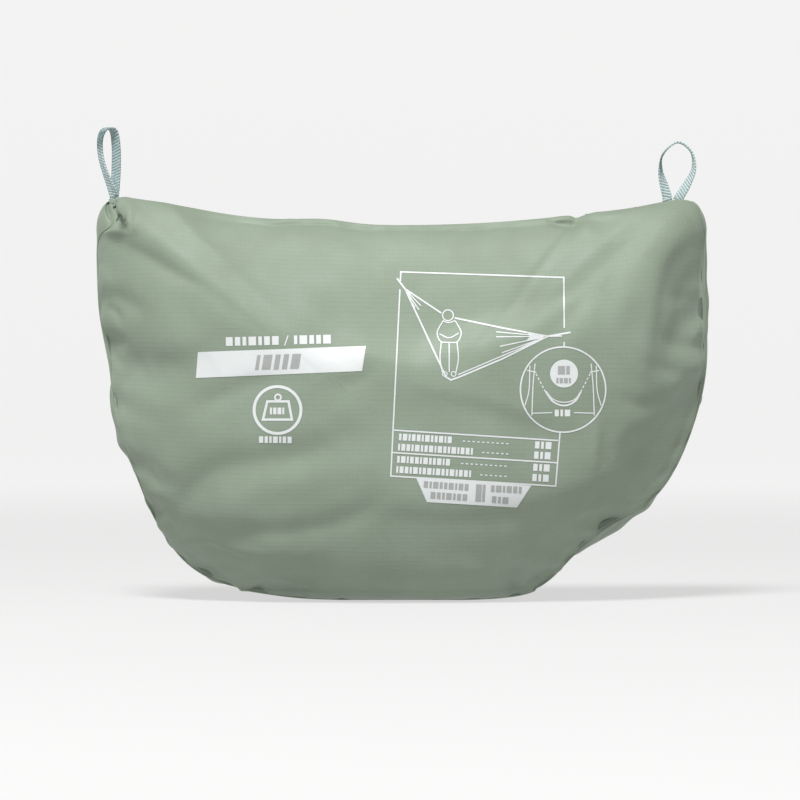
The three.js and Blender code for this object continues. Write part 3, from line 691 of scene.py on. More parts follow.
# The photograph doesn't show the back, so its creases are invented.
BACK_FOLDS = [
    ([(-140, 186), (-122, 172), (-100, 166)], 6, -1.6, -0.5),
    ([(142, 188), (126, 174), (110, 158)], 6, -1.8, 0.6),
    ([(-150, 150), (-136, 147), (-120, 150)], 5, -1.4),
    ([(150, 142), (136, 138), (122, 140)], 5, -1.4),
    ([(-146, 112), (-128, 106), (-105, 108)], 6, -1.2, 0.3),
    ([(146, 108), (126, 104), (104, 95)], 6, -1.3),
    ([(-110, 60), (-70, 66), (-20, 58), (30, 62)], 8, -1.4, 0.6),
    ([(118, 62), (84, 52), (40, 40)], 8, -1.5, -0.5),
    ([(-90, 28), (-50, 34), (-10, 28)], 7, 1.1),
    ([(-60, 140), (-20, 132), (40, 138), (90, 150)], 10, -0.9, 0.6),
    ([(60, 110), (72, 90), (70, 70)], 6, 0.8),
]


def gentle_noise(co, seed, wavelength):
    """A smooth random height from -1 to 1, the same on every run."""
    rng = np.random.default_rng(seed)
    total = np.zeros(len(co))
    for _ in range(14):
        direction = rng.normal(size=3)
        direction *= 2 * math.pi / (wavelength * rng.uniform(0.7, 1.6)) / np.linalg.norm(direction)
        total += np.sin(co @ direction + rng.uniform(0, 2 * math.pi))
    return total / 7


PUCKER_COUNTS = (34, 47, 61)  # gathers once round the seam, in three mixed rhythms
PUCKER_HEIGHT = 0.42 * MM
SMOOTH_CORNER = 54  # the bearing in degrees, either side, where the puckers almost vanish


def seam_puckers(seed):
    """Small radial gathers that fade inward from the sewn edge."""
    rng = np.random.default_rng(seed)
    gathers = np.zeros(len(BEARING))
    for count in PUCKER_COUNTS:
        gathers += np.sin(count * BEARING + rng.uniform(0, 2 * math.pi)) * rng.uniform(0.6, 1.0)
    sewn = smoothstep(np.abs(BEARING), CORNER_BEARING - 0.05, CORNER_BEARING + 0.1)
    near = smoothstep(REACH, 0.72, 0.94) * (1 - smoothstep(REACH, 0.985, 1.0))
    near = near * (1 - 0.9 * bump(np.degrees(np.abs(BEARING)), SMOOTH_CORNER, 9))
    return gathers * near * (0.25 + 0.75 * sewn) * PUCKER_HEIGHT


FLOOR_PRESS = 6 * MM  # cloth this close to the ground is pressed flat on it
FLOOR_GAP = 0.15 * MM
BROAD_WAVES = (0.7 * MM, 75 * MM)  # height and wavelength of the cloth's random unevenness
FINE_WAVES = (0.22 * MM, 24 * MM)


def shape_cloth(obj, folds, seed):
    """Adds a panel's creases, unevenness and seam puckers, and lays it on the ground."""
    co = coordinates_of(obj)
    normals = normals_of(obj)
    inner = 1 - smoothstep(REACH, 0.96, 1.0)
    lift = sum(fold(co, *crease) for crease in folds)
    for k, (height, wavelength) in enumerate((BROAD_WAVES, FINE_WAVES)):
        lift += height * gentle_noise(co, seed + k, wavelength)
    lift = lift * inner + seam_puckers(seed + 2)
    co = co + normals * lift[:, None]
    low = co[:, 2] < FLOOR_PRESS
    co[low, 2] = FLOOR_PRESS * (np.exp((co[low, 2] - FLOOR_PRESS) / FLOOR_PRESS) - math.exp(-2.0))
    co[:, 2] = np.maximum(co[:, 2], FLOOR_GAP)
    move_points(obj, co)


SEAM_ALLOWANCE = 4 * MM


def add_hem(obj, side):
    """Turns the panel's edge in: a lip beside the zip, and a seam allowance everywhere else."""
    co = coordinates_of(obj)
    edge = co[RIM]
    bearing = BEARING[RIM]
    flat = pattern_of(obj)
    at_mouth = (np.abs(bearing) < CORNER_BEARING)[:, None]
    inward = np.stack([-np.sin(bearing), np.zeros(len(RIM)), -np.cos(bearing)], 1)
    down = np.tile([0.0, 0.0, -1.0], (len(RIM), 1))
    towards = np.where(at_mouth, down, inward)
    rings, ring_uvs = [edge], [flat[RIM]]
    for step in (0.12, 0.45, 1.0):
        depth = np.where(at_mouth, HEM_DEPTH, SEAM_ALLOWANCE) * step
        ring = edge + towards * depth
        lean = np.where(at_mouth[:, 0], -0.3 * MM * min(1, step * 4), 0.15 * MM)
        ring[:, 1] += side * lean
        ring[:, 2] = np.maximum(ring[:, 2], 0.5 * MM)
        rings.append(ring)
        ring_uvs.append(flat[RIM] * (1 + 0.03 * step))
    count = len(RIM)
    first = len(co)
    vertices = np.vstack([co, *rings[1:]])
    uvs = np.vstack([flat, *ring_uvs[1:]])
    faces = [tuple(p.vertices) for p in obj.data.polygons]
    for ring in range(3):
        for k in range(count):
            following = (k + 1) % count
            if ring == 0:
                a, b = RIM[k], RIM[following]
            else:
                a, b = first + (ring - 1) * count + k, first + (ring - 1) * count + following
            c, d = first + ring * count + following, first + ring * count + k
            faces.append((a, d, c, b) if side > 0 else (a, b, c, d))
    hemmed = make_object(obj.name + "_hemmed", vertices, faces, uvs)
    name = obj.name
    bpy.data.objects.remove(obj)
    hemmed.name = name
    return hemmed


def thicken(obj, thickness):
    wall = obj.modifiers.new("wall", "SOLIDIFY")
    wall.thickness = thickness
    wall.offset = -1
    return apply_modifiers(obj)


shape_cloth(front, FRONT_FOLDS, 11)
shape_cloth(back, BACK_FOLDS, 23)
front_rim = coordinates_of(front)[RIM]
front = thicken(add_hem(front, -1), CLOTH_THICKNESS)
back = thicken(add_hem(back, 1), CLOTH_THICKNESS)
finish_piece(front, "pouch", "ripstop", RIPSTOP, "front_panel")
finish_piece(back, "pouch", "ripstop", RIPSTOP, "back_panel")


# ---------------------------------------------------------------- tubes, ribbons and threads
def tube_faces(count, sides, closed=False, capped=True):
    """The faces that join rings of points into a tube, and cap its ends."""
    faces = []
    for k in range(count if closed else count - 1):
        a, b = k * sides, ((k + 1) % count) * sides
        faces += [(a + s, a + (s + 1) % sides, b + (s + 1) % sides, b + s) for s in range(sides)]
    if capped and not closed:
        faces += [tuple(range(sides))[::-1], tuple((count - 1) * sides + s for s in range(sides))]
    return faces


def tube_mesh(name, path, radius, sides, closed=False):
    """A round tube along a path."""
    path = np.asarray(path, float)
    count = len(path)
    ahead = unit(np.roll(path, -1, 0) - np.roll(path, 1, 0) if closed else np.gradient(path, axis=0))
    side = np.cross(ahead[0], [0.0, 0.0, 1.0])
    if np.linalg.norm(side) < 0.1:
        side = np.cross(ahead[0], [1.0, 0.0, 0.0])
    vertices, pattern = [], []
    lengths = lengths_along(path)
    for k in range(count):
        side = side - ahead[k] * np.dot(side, ahead[k])
        side /= np.linalg.norm(side)
        up = np.cross(ahead[k], side)
        for s in range(sides):
            angle = 2 * math.pi * s / sides
            vertices.append(path[k] + radius * (math.cos(angle) * side + math.sin(angle) * up))
            pattern.append((radius * angle, lengths[k]))
    return make_object(name, vertices, tube_faces(count, sides, closed), pattern)


def join_pieces(name, pieces):
    """One object from several, each keeping its own closed shell."""
    vertices, faces, pattern = [], [], []
    for piece in pieces:
        first = len(vertices)
        vertices += [tuple(v.co) for v in piece.data.vertices]
        faces += [tuple(first + i for i in p.vertices) for p in piece.data.polygons]
        pattern += list(pattern_of(piece))
        bpy.data.objects.remove(piece)
    return make_object(name, vertices, faces, pattern)


# A band's section, as shares of its width and thickness: its round edges are thicker than its middle.
UPPER_HALF = [(-0.5, 0), (-0.47, 0.42), (-0.36, 0.5), (0, 0.42), (0.36, 0.5), (0.47, 0.42)]
BAND_SECTION = UPPER_HALF + [(-a, -b) for a, b in UPPER_HALF]


def ribbon_mesh(name, route, width, thickness, rib_pitch=0.0, rib_height=0.0):
    """A flat band along a route of places with the band's width direction at each."""
    places, wide = route[:, :3], route[:, 3:]
    ahead = unit(np.gradient(places, axis=0))
    wide = unit(wide - ahead * np.sum(wide * ahead, axis=1, keepdims=True))
    up = np.cross(ahead, wide)
    lengths = lengths_along(places)
    vertices, pattern = [], []
    for k in range(len(places)):
        swell = rib_height * math.sin(2 * math.pi * lengths[k] / rib_pitch) if rib_pitch else 0.0
        for a, b in BAND_SECTION:
            out = b * thickness + math.copysign(swell, b) * (abs(b) > 0.1)
            vertices.append(places[k] + wide[k] * a * width + up[k] * out)
            pattern.append((a * width, lengths[k]))
    return make_object(name, vertices, tube_faces(len(places), len(BAND_SECTION)), pattern)


# ---------------------------------------------------------------- hanging loops
WEBBING_WIDTH = 4.8 * MM
WEBBING_THICKNESS = 0.8 * MM
LOOP_ROOT = 8 * MM  # how far a loop's sewn ends reach down into the pouch's corner

# Places from a loop's foot, and the direction of the webbing's width there, in millimetres.
LEFT_ROUTE = [
    (-2.9, -0.6, 1, 1, -0.2, 0),
    (-4.6, -1.8, 6, 0.8, -0.6, 0),
    (-7.2, -3, 13, 0.6, -0.8, 0),
    (-9.3, -3.6, 21, 0.55, -0.83, 0),
    (-9.6, -3.0, 29.5, 0.6, -0.8, 0),
    (-7.4, 0.2, 34.6, 0.72, -0.7, 0),
    (-3.6, 3.2, 34, 0.85, -0.5, 0),
    (-2.3, 4.2, 26, 0.95, -0.3, 0),
    (-2.2, 3.4, 15, 1, -0.15, 0),
    (-2.6, 1.6, 6, 1, -0.1, 0),
    (-2.9, 0.6, 1, 1, -0.2, 0),
]
RIGHT_ROUTE = [
    (-2.7, 0, 0, 1, 0, 0),
    (-4.6, 0, 7, 0.85, 0.5, 0),
    (-6.2, 0, 14, 0.4, 0.9, 0),
    (-5, 0, 22, 0, 1, 0),
    (2.2, 0, 28, 0, 1, 0),
    (9, 0, 23.5, 0, 1, 0),
    (10.4, 0, 15, -0.3, 0.95, 0),
    (7, 0, 7, -0.8, 0.6, 0),
    (2.7, 0, 0, -1, 0, 0),
]


def loop_places(word, route):
    """A loop's route in the frame, from the joint that it tips about."""
    foot = np.array(joints[f"{word}_loop_tip"]["pos_m"])
    foot[2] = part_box(f"{word}_loop")[0].z
    places = np.array(route, float)
    places[:, :3] = places[:, :3] * MM + foot
    return places


def set_painted_shade(obj, light):
    """How light the webbing is painted at each point, from 0 to 1: low values are painted shade."""
    attribute = obj.data.attributes.new("light", "FLOAT", "POINT")
    attribute.data.foreach_set("value", np.asarray(light, np.float32))


def make_loop(word, route, painted_shade_at, painted_shade_last):
    """The free part of a hanging loop, which tips, with painted shade along it: darkest at one given share of
    its length, and laid over its later half by the other.
    """
    name = f"{word}_hanging_loop"
    places = loop_places(word, route)
    line = curve_through(places, 420)
    obj = ribbon_mesh(name, line, WEBBING_WIDTH, WEBBING_THICKNESS, RIB_PITCH, 0.1 * MM)
    share = np.repeat(np.linspace(0, 1, len(line)), len(BAND_SECTION))
    # Painted shade: darkest round the given share of the loop, where it turns from the light, and over its
    # later half.
    dark = 1.1 * bump(share, painted_shade_at, 0.09) + painted_shade_last * smoothstep(share, 0.5, 0.62)
    set_painted_shade(obj, np.clip(0.95 - dark, 0, 1))
    finish_piece(obj, f"{word}_loop", "webbing", WEBBING, f"{word}_loop")


def make_loop_root(word, route, pull, back):
    """The sewn ends of a loop, which stay in the pouch's corner while the loop tips over them.

    Pull and back are how far the ends' feet lie to the side of their tops and behind them, in millimetres.
    """
    places = loop_places(word, route)
    ends = []
    for top in (places[0], places[-1]):
        foot = top.copy()
        foot[:3] += (pull * MM, back * MM, -LOOP_ROOT)
        top = top.copy()
        top[2] += 0.4 * MM
        line = curve_through([top, (top + foot) / 2, foot], 60)
        ends.append(ribbon_mesh("end", line, WEBBING_WIDTH, WEBBING_THICKNESS, RIB_PITCH, 0.05 * MM))
    root = join_pieces(f"{word}_loop_root", ends)
    set_painted_shade(root, np.full(len(root.data.vertices), 0.85))
    finish_piece(root, "pouch", "webbing", WEBBING)


def make_bar_tack(word, route, drop, turns=6, height=2.2 * MM):
    """Close turns of thread that bind a loop's two ends together, from drop millimetres below its foot."""
    places = loop_places(word, route)
    middle = (places[0] + places[-1])[:3] / 2
    spread = np.abs(places[0] - places[-1])[:3] / 2
    half_width = spread[0] + WEBBING_WIDTH / 2 + 0.1 * MM
    half_depth = spread[1] + WEBBING_THICKNESS / 2 + 0.2 * MM
    t = np.linspace(0, 1, turns * 20)
    angle = 2 * math.pi * turns * t
    x = middle[0] + half_width * np.cos(angle)
    y = middle[1] + half_depth * np.sin(angle)
    z = middle[2] - drop * MM + height * t
    made = tube_mesh(f"{word}_loop_bar_tack", np.stack([x, y, z], 1), 0.22 * MM, 6)
    finish_piece(made, "pouch", "ripstop", THREAD)


make_loop("left", LEFT_ROUTE, painted_shade_at=0.4, painted_shade_last=0.42)
make_loop("right", RIGHT_ROUTE, painted_shade_at=0.3, painted_shade_last=0.05)
make_loop_root("left", LEFT_ROUTE, pull=1.0, back=2.6)
make_loop_root("right", RIGHT_ROUTE, pull=-1.0, back=0)
make_bar_tack("left", LEFT_ROUTE, drop=3.6)
make_bar_tack("right", RIGHT_ROUTE, drop=4)


# ---------------------------------------------------------------- seam and stitching
WELT_RADIUS = 0.45 * MM
WELT_POINTS = 700
STITCH = 2.6 * MM
STITCH_GAP = 0.9 * MM
THREAD_RADIUS = 0.17 * MM
STITCH_DROP = 2.4 * MM  # how far under the lip's edge its stitches run


def make_welt():
    """The rolled edge that shows along the sewn seam, from corner to corner round the bottom."""
    order = np.argsort(np.mod(BEARING[RIM], 2 * math.pi))
    seam = front_rim[order]
    turned = np.mod(BEARING[RIM][order], 2 * math.pi)
    sewn = (turned > CORNER_BEARING + 0.03) & (turned < 2 * math.pi - CORNER_BEARING - 0.03)
    path = curve_through(seam[sewn], WELT_POINTS)
    outward = unit((path - np.array([0, 0, CORE_Z])) * [1, 0, 1])
    path = path + outward * 0.15 * MM
    path[:, 2] = np.maximum(path[:, 2], WELT_RADIUS)
    return path, tube_mesh("seam_welt", path, WELT_RADIUS, 8)


def stitch_row(name, path, out):
    """A row of thread stitches along a path, each a little sunk at its ends. Out is the way off the cloth."""
    lengths = lengths_along(path)
    pieces = []
    at = 0.0
    while at + STITCH < lengths[-1]:
        share = np.linspace(0, 1, 6)
        distance = at + share * STITCH
        spots = np.stack([np.interp(distance, lengths, path[:, k]) for k in range(3)], 1)
        spots = spots + out * (np.sin(share * math.pi)[:, None] * 0.3 - 0.12) * MM
        pieces.append(tube_mesh("stitch", spots, THREAD_RADIUS, 6))
        at += STITCH + STITCH_GAP
    return join_pieces(name, pieces)


def surface_of(obj):
    """A search tree over a piece's faces."""
    vertices = [v.co.copy() for v in obj.data.vertices]
    return BVHTree.FromPolygons(vertices, [list(p.vertices) for p in obj.data.polygons])


def hem_stitch(name, side):
    """The stitches through the hem's lip that hold the zip's tape behind it."""
    bearing = np.linspace(-CORNER_BEARING + 0.1, CORNER_BEARING - 0.1, 260)
    line = dome(side, bearing, np.ones_like(bearing)) + np.array([0, -side * 0.4 * MM, -STITCH_DROP])
    return stitch_row(name, line, np.array([0.0, -side, 0.0]))


welt_path, welt = make_welt()
finish_piece(welt, "pouch", "ripstop", RIPSTOP)
for name, side in (("hem_stitching_front", -1), ("hem_stitching_back", 1)):
    finish_piece(hem_stitch(name, side), "pouch", "ripstop", THREAD)


# ---------------------------------------------------------------- print on the front
# All in millimetres: x from the pouch's middle and height above its base, as seen from the front.
PRINT_PROUD = 0.16 * MM
PRINT_STEP = 1.0
LINE = 0.75


class Print:
    """Flat ink shapes, laid on the front panel as thin patches of cloth-hugging mesh."""

    def __init__(self, surface, lift):
        self.surface = surface
        self.lift = lift
        self.vertices = []
        self.faces = []
        self.eye = camera.location.copy()

    def lay(self, x, z):
        """The place on the cloth that shows at this x and height in the plane of the pouch."""
        target = Vector((x * MM, 0, z * MM))
        direction = (target - self.eye).normalized()
        spot, normal, _, _ = self.surface.ray_cast(self.eye, direction)
        if spot is None:
            spot, normal, _, _ = self.surface.find_nearest(target)
        if normal.y > 0:
            normal = -normal
        return spot + normal * self.lift

    def patch(self, corners):
        """A filled four-cornered shape; the corners go round it."""
        a, b, c, d = [np.array(corner, float) for corner in corners]
        columns = max(1, math.ceil(max(np.hypot(*(b - a)), np.hypot(*(c - d))) / PRINT_STEP))
        rows = max(1, math.ceil(max(np.hypot(*(d - a)), np.hypot(*(c - b))) / PRINT_STEP))
        first = len(self.vertices)
        for i in range(rows + 1):
            for j in range(columns + 1):
                s, t = j / columns, i / rows
                spot = (a * (1 - s) + b * s) * (1 - t) + (d * (1 - s) + c * s) * t
                self.vertices.append(self.lay(*spot))
        self.faces += grid_faces(rows + 1, columns + 1, first=first)

    def line(self, points, width=LINE):
        """A stroke with mitred corners along straight pieces."""
        points = np.array(points, float)
        ahead = unit(np.diff(points, axis=0))
        closed = np.allclose(points[0], points[-1])
        edges = []
        for k in range(len(points)):
            before = ahead[k - 1] if k > 0 or closed else ahead[0]
            after = ahead[k] if k < len(ahead) else (ahead[0] if closed else ahead[-1])
            across = unit(np.array([-(before + after)[1], (before + after)[0]]))
            turn = max(0.4, abs(np.dot(across, [-after[1], after[0]])))
            edges.append((points[k] - across * width / 2 / turn, points[k] + across * width / 2 / turn))
        for (low_a, high_a), (low_b, high_b) in zip(edges, edges[1:]):
            self.patch((low_a, low_b, high_b, high_a))

    def curve(self, points, width=LINE, samples=24):
        self.line(curve_through(points, samples), width)

    def ring(self, x, z, radius, width=LINE, samples=64):
        angles = np.linspace(0, 2 * math.pi, samples + 1)
        self.line(np.stack([x + radius * np.cos(angles), z + radius * np.sin(angles)], 1), width)

    def disc(self, x, z, radius, samples=48):
        first = len(self.vertices)
        rings = max(2, math.ceil(radius / PRINT_STEP))
        self.vertices.append(self.lay(x, z))
        for r in range(1, rings + 1):
            for k in range(samples):
                angle = 2 * math.pi * k / samples
                reach = radius * r / rings
                self.vertices.append(self.lay(x + reach * math.cos(angle), z + reach * math.sin(angle)))
        for k in range(samples):
            following = (k + 1) % samples
            self.faces.append((first, first + 1 + k, first + 1 + following))
            for r in range(rings - 1):
                a, b = first + 1 + r * samples, first + 1 + (r + 1) * samples
                self.faces.append((a + k, b + k, b + following, a + following))

    def word(self, start, end, height, blocks, lean=0.0, gap=0.28):
        """A stand-in for a word: a row of plain blocks from start to end, which are its lower corners."""
        start, end = np.array(start, float), np.array(end, float)
        ahead = (end - start) / np.linalg.norm(end - start)
        up = np.array([-ahead[1], ahead[0]]) * height + ahead * lean
        widths = 1 + 0.3 * np.sin(2.4 * np.arange(blocks) + blocks)
        edges = np.concatenate([[0], np.cumsum(widths)]) / widths.sum()
        space = (end - start) * gap / blocks
        for near, far in zip(edges, edges[1:]):
            low = start + (end - start) * near
            high = start + (end - start) * far - space
            self.patch((low, high, high + up, low + up))

    def make(self, name, material):
        obj = make_object(name, self.vertices, self.faces)
        normals = normals_of(obj)
        if normals[:, 1].mean() > 0:
            obj.data.flip_normals()
        return finish_piece(obj, "pouch", "ripstop", material)


def between(a, b, share):
    return np.array(a, float) * (1 - share) + np.array(b, float) * share


front_surface = surface_of(front)
white = Print(front_surface, PRINT_PROUD)
grey = Print(front_surface, 1.6 * PRINT_PROUD)


def print_title():
    """The caption and the slanted band at the left."""
    white.word((-88, 127), (-60.5, 127.6), 4.4, 7)
    white.line([(-58.7, 127.2), (-57, 132.2)], 0.6)
    white.word((-54, 127.8), (-34.5, 128.2), 4.4, 5)
    white.patch([(-103, 111), (-20, 114.5), (-18, 127), (-102, 124)])
    grey.word((-73.5, 115), (-50, 115.7), 7.4, 5, lean=1.4, gap=0.34)


def print_weight():
    """A round badge with a weight in it."""
    white.ring(-62.2, 95, 11.7, 1.5)
    white.line([(-67.3, 99.3), (-56.7, 99.3), (-55, 90.2), (-69.5, 90.2), (-67.3, 99.3)], 1.2)
    white.ring(-62, 101.3, 1.5, 0.9, 20)
    white.word((-66, 92.8), (-58.3, 92.8), 3.4, 4)
    white.word((-71.5, 78.6), (-54.5, 78.4), 3.3, 7)


FRAME_TOP = ((-0.6, 164), (80.9, 161.2))
FRAME_FOOT = ((-5.6, 62), (76.8, 57))
BADGE = (80.5, 105.2)
BADGE_RADIUS = 21.3


def print_frame():
    """The drawing's frame, open where the cords and the badge cross it, with two ruled rows at its foot."""
    left_top, right_top = FRAME_TOP
    left_foot, right_foot = FRAME_FOOT
    white.line([between(left_top, left_foot, 0.045), left_top, right_top, (81.1, 136)])
    white.line([between(left_top, left_foot, 0.085), left_foot, right_foot, (79, 84)])
    white.line([(81.1, 129), (81, 126.6)])
    for share in (0.225, 0.115):
        white.line([between(left_foot, left_top, share), between(right_foot, (79.6, 107), share * 2.02)])
    for row in range(4):
        drop = 4.7 + 5.1 * row + (1.0 if row > 1 else 0)
        low = np.array([-1.6 - 0.45 * row, 84.6 - drop])
        slope = np.array([1, -0.06])
        long = 27 if row % 2 == 0 else 38
        white.word(low, low + slope * long, 3.4, round(long / 2.3))
        dots = 34 if row % 2 == 0 else 44
        for dot in range(10 if row % 2 == 0 else 6):
            spot = low + slope * (dots - 2 + dot * 2.4) + np.array([0, 1.2])
            white.patch([spot, spot + slope * 1.2, spot + slope * 1.2 + [0, 0.6], spot + [0, 0.6]])
        white.word(low + slope * 68, low + slope * 77, 3.6, 3)


def print_hammock():
    """A hammock hung by its two cords, with the sitter as a plain figure."""
    left_knot, right_knot = (1.5, 155.5), (72.8, 131.8)
    white.line([(-2.5, 160.8), left_knot], 0.9)
    white.line([right_knot, (84.3, 133.8)], 0.9)
    white.line([right_knot, (80, 132)], 0.7)
    lower = [left_knot, (12, 133), (22, 111.5), (24.5, 110), (28, 111.2), (50, 120.5), right_knot]
    white.line(lower, 0.85)
    white.line([(28, 112.6), (50, 122), right_knot], 0.6)
    white.line([left_knot, (19.7, 143.4)], 0.85)
    white.line([(26.3, 141), (50, 136), right_knot], 0.85)
    for x, z in ((47, 134), (47, 131.5), (49, 126.8), (50, 123.6)):
        white.line([right_knot, (x, z)], 0.55)
    for x, z in ((9.5, 147), (8.5, 145), (6.5, 146)):
        white.line([left_knot, (x, z)], 0.55)
    white.patch([right_knot, (62, 134.2), (64, 131.8), (62, 129.6)])
    white.ring(23, 142.3, 2.7, 0.6, 24)
    body = [(20.5, 139.5), (17.6, 134), (18.6, 130), (19.6, 128.8), (19, 121), (20.2, 113.8)]
    white.curve(body, 0.6)
    white.curve([(2 * 23.6 - x, z) for x, z in body], 0.6)
    white.curve([(20.4, 139.6), (23.3, 138.6), (26.6, 139.6)], 0.6, 8)
    white.curve([(18.8, 133), (23.6, 131), (28.4, 133.4)], 0.6, 8)
    white.line([(19.6, 128.8), (27.7, 128.6)], 0.6)
    white.line([(23.6, 128.6), (23.6, 114)], 0.6)
    white.ring(21.4, 113, 1.2, 0.5, 12)
    white.ring(25.8, 113, 1.2, 0.5, 12)


def print_badge():
    """The round badge: a hammock slung between two trunks, and the distance between them."""
    x, z = BADGE
    white.ring(x, z, BADGE_RADIUS, 0.8, 96)
    white.disc(x + 0.5, z + 8, 7)
    grey.word((x - 2.6, z + 7.6), (x + 4, z + 7.6), 4.2, 2, gap=0.2)
    grey.word((x - 3.4, z + 3.2), (x + 4.4, z + 3.2), 2.6, 4)
    for side in (-1, 1):
        white.curve([(x + side * 16.6, z + 12), (x + side * 17, z), (x + side * 19, z - 8)], 0.55)
        white.curve([(x + side * 14, z + 13), (x + side * 15, z + 2), (x + side * 15.6, z - 13)], 0.55)
        white.line([(x + side * 18, z + 9.6), (x + side * 13.4, z + 8.6)], 0.6)
        for dash in range(5):
            start = np.array([x + side * (13.6 - 1.05 * dash), z + 8 - 2 * dash])
            white.line([start, start + [-side * 0.65, -1.25]], 0.6)
        white.line([(x + side * 5.4, z - 11.5), (x + side * 15.4, z - 11.8)], 0.55)
    sag = [(x - 8.6, z - 1.2), (x - 5, z - 6), (x + 0.4, z - 8), (x + 5.8, z - 6), (x + 9, z - 1)]
    white.curve(sag, 0.9)
    white.curve([(a, b + 1.6 * (1 - ((a - x) / 10) ** 2)) for a, b in sag], 0.6)
    white.word((x - 4.2, z - 13.4), (x + 4.4, z - 13.4), 3.4, 3)


def print_plate():
    """The white plate hung under the frame."""
    white.patch([(12.4, 49), (57.4, 46.3), (64.7, 57.2), (6.9, 61.5)])
    rows = [(10.8, 56.2, 23, 16), (14.2, 50.8, 19, 9)]  # start, and the lengths of the row's two words
    for row, (x, z, first, second) in enumerate(rows):
        grey.word((x, z), (x + first, z - 0.07 * first), 3.3, round(first / 2.6))
        x += first + 10.6 + row
        grey.word((x, z - 2.1), (x + second, z - 2.9), 3.3, round(second / 2.6))
    grey.word((36.6, 49.3), (41.8, 49), 8.6, 2, gap=0.18)


for section in (print_title, print_weight, print_frame, print_hammock, print_badge, print_plate):
    section()
white.make("print_white", WHITE_INK)
grey.make("print_grey", GREY_INK)


# ---------------------------------------------------------------- zip
ZIP_DEPTH = 5.5 * MM
TAPE_THICKNESS = 0.6 * MM
TAPE_MIDDLE = ZIP_DEPTH + 0.4 * MM
COIL_INNER = 0.35 * MM
COIL_OUTER = 2.8 * MM
COIL_HEIGHT = 2.1 * MM
COIL_PITCH = 1.3 * MM
COIL_WIRE = 0.33 * MM
TAPE_JOIN_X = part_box("zip_top_stop_front")[1].x
TAPE_END_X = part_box("zip_tape_front")[1].x
COIL_END_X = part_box("zip_coil_front")[1].x


def zip_height(x, depth=TAPE_MIDDLE):
    """Height of the zip's line, a given depth under the pouch's top edge."""
    return TOP_CENTRE_Z - np.sqrt((TOP_RADIUS + depth) ** 2 - x**2)


def make_tape(name, side):
    """One tape of the zip, woven through to the coil's edge and folded shut beyond the stops."""
    x = np.linspace(-TAPE_END_X, TAPE_END_X, 300)
    inner = 2.3 * MM - 2.1 * MM * smoothstep(np.abs(x), TAPE_JOIN_X, TAPE_JOIN_X + 3 * MM)
    outer = mouth_half_width(x) - 0.4 * MM
    outer = np.maximum(outer, inner + 0.6 * MM)
    middle = (inner + outer) / 2
    route = np.stack([x, side * middle, zip_height(x), 0 * x, 0 * x + 1, 0 * x], 1)
    tape = ribbon_mesh(name, route, 1.0, TAPE_THICKNESS)
    co = coordinates_of(tape)
    points = len(BAND_SECTION)
    half = np.repeat((outer - inner) / 2, points)
    centre = np.repeat(side * middle, points)
    leaf = np.tile([-1, -0.94, -0.72, 0, 0.72, 0.94, 1, 0.94, 0.72, 0, -0.72, -0.94], len(x))
    rise = np.tile([0, 0.42, 0.5, 0.42, 0.5, 0.42, 0, -0.42, -0.5, -0.42, -0.5, -0.42], len(x))
    co[:, 0] = np.repeat(x, points)
    co[:, 1] = centre + side * leaf * half
    co[:, 2] = np.repeat(zip_height(x), points) + rise * TAPE_THICKNESS
    move_points(tape, co)
    corners = read(tape.data.loops, "vertex_index", kind=int)
    tape.data.uv_layers["cloth"].data.foreach_set("uv", co[corners][:, [1, 0]].astype(np.float32).ravel())
    return tape


def make_coil(name, side):
    """One half of the zip's coil: a flattened spiral of nylon wire."""
    turns = int(2 * COIL_END_X / COIL_PITCH)
    t = np.linspace(0, 1, turns * 12)
    angle = 2 * math.pi * turns * t + (math.pi if side > 0 else 0)
    x = -COIL_END_X + 2 * COIL_END_X * t
    half_width = (COIL_OUTER - COIL_INNER) / 2 - COIL_WIRE
    y = side * ((COIL_OUTER + COIL_INNER) / 2 + half_width * np.cos(angle))
    z = zip_height(x) + (COIL_HEIGHT / 2 - COIL_WIRE) * np.sin(angle)
    return tube_mesh(name, np.stack([x, y, z], 1), COIL_WIRE, 6)


def tape_material():
    """Woven zip tape: a fine herringbone of grey-green yarn."""
    n = Material("zip_tape_weave", 0.7, specular=0.3, sheen=0.1)
    across, along, _ = n.split(n.coordinates("UV"))
    zigzag = n.math("PINGPONG", across, 1.4 * MM)
    twill = n.ribs(n.math("ADD", along, zigzag), 0.62 * MM, 1.4)
    fleck = n.noise(n.coordinates(), 1100.0, 2.0)
    colour = n.mix(twill, (0.075, 0.105, 0.08), (0.155, 0.2, 0.155))
    n.set("Base Color", n.mix(n.math("MULTIPLY", fleck, 0.35), colour, (0.22, 0.27, 0.22)))
    n.set("Normal", n.bump(twill, 0.12 * MM, 0.8))
    return n.made


def nylon_coil_material():
    n = Material("nylon_coil", 0.38)
    scuff = n.noise(n.coordinates(), 700.0, 3.0)
    n.set("Base Color", n.mix(scuff, (0.07, 0.1, 0.075), (0.15, 0.2, 0.155)))
    n.set("Roughness", n.spread(scuff, 0.3, 0.7, 0.3, 0.5))
    n.set("Normal", n.bump(scuff, 0.04 * MM, 0.4))
    return n.made


def metal_material(name, tint, worn, roughness, brushed):
    """Metal with fine brushing or casting grain, and brighter worn patches."""
    n = Material(name, roughness, metallic=1.0)
    object_place = n.coordinates()
    stretched = n.tree.nodes.new("ShaderNodeMapping")
    stretched.inputs["Scale"].default_value = (60 if brushed else 500, 900, 900)
    n.join(object_place, stretched.inputs["Vector"])
    grain = n.noise(stretched.outputs[0], 1.0, 3.0)
    wear = n.spread(n.noise(object_place, 90.0, 4.0, 0.65), 0.5, 0.72)
    n.set("Base Color", n.mix(n.math("MULTIPLY", wear, 0.6), tint, worn))
    n.set("Roughness", n.spread(grain, 0.25, 0.75, roughness - 0.07, roughness + 0.12))
    n.set("Normal", n.bump(grain, 0.02 * MM, 0.5))
    return n.made


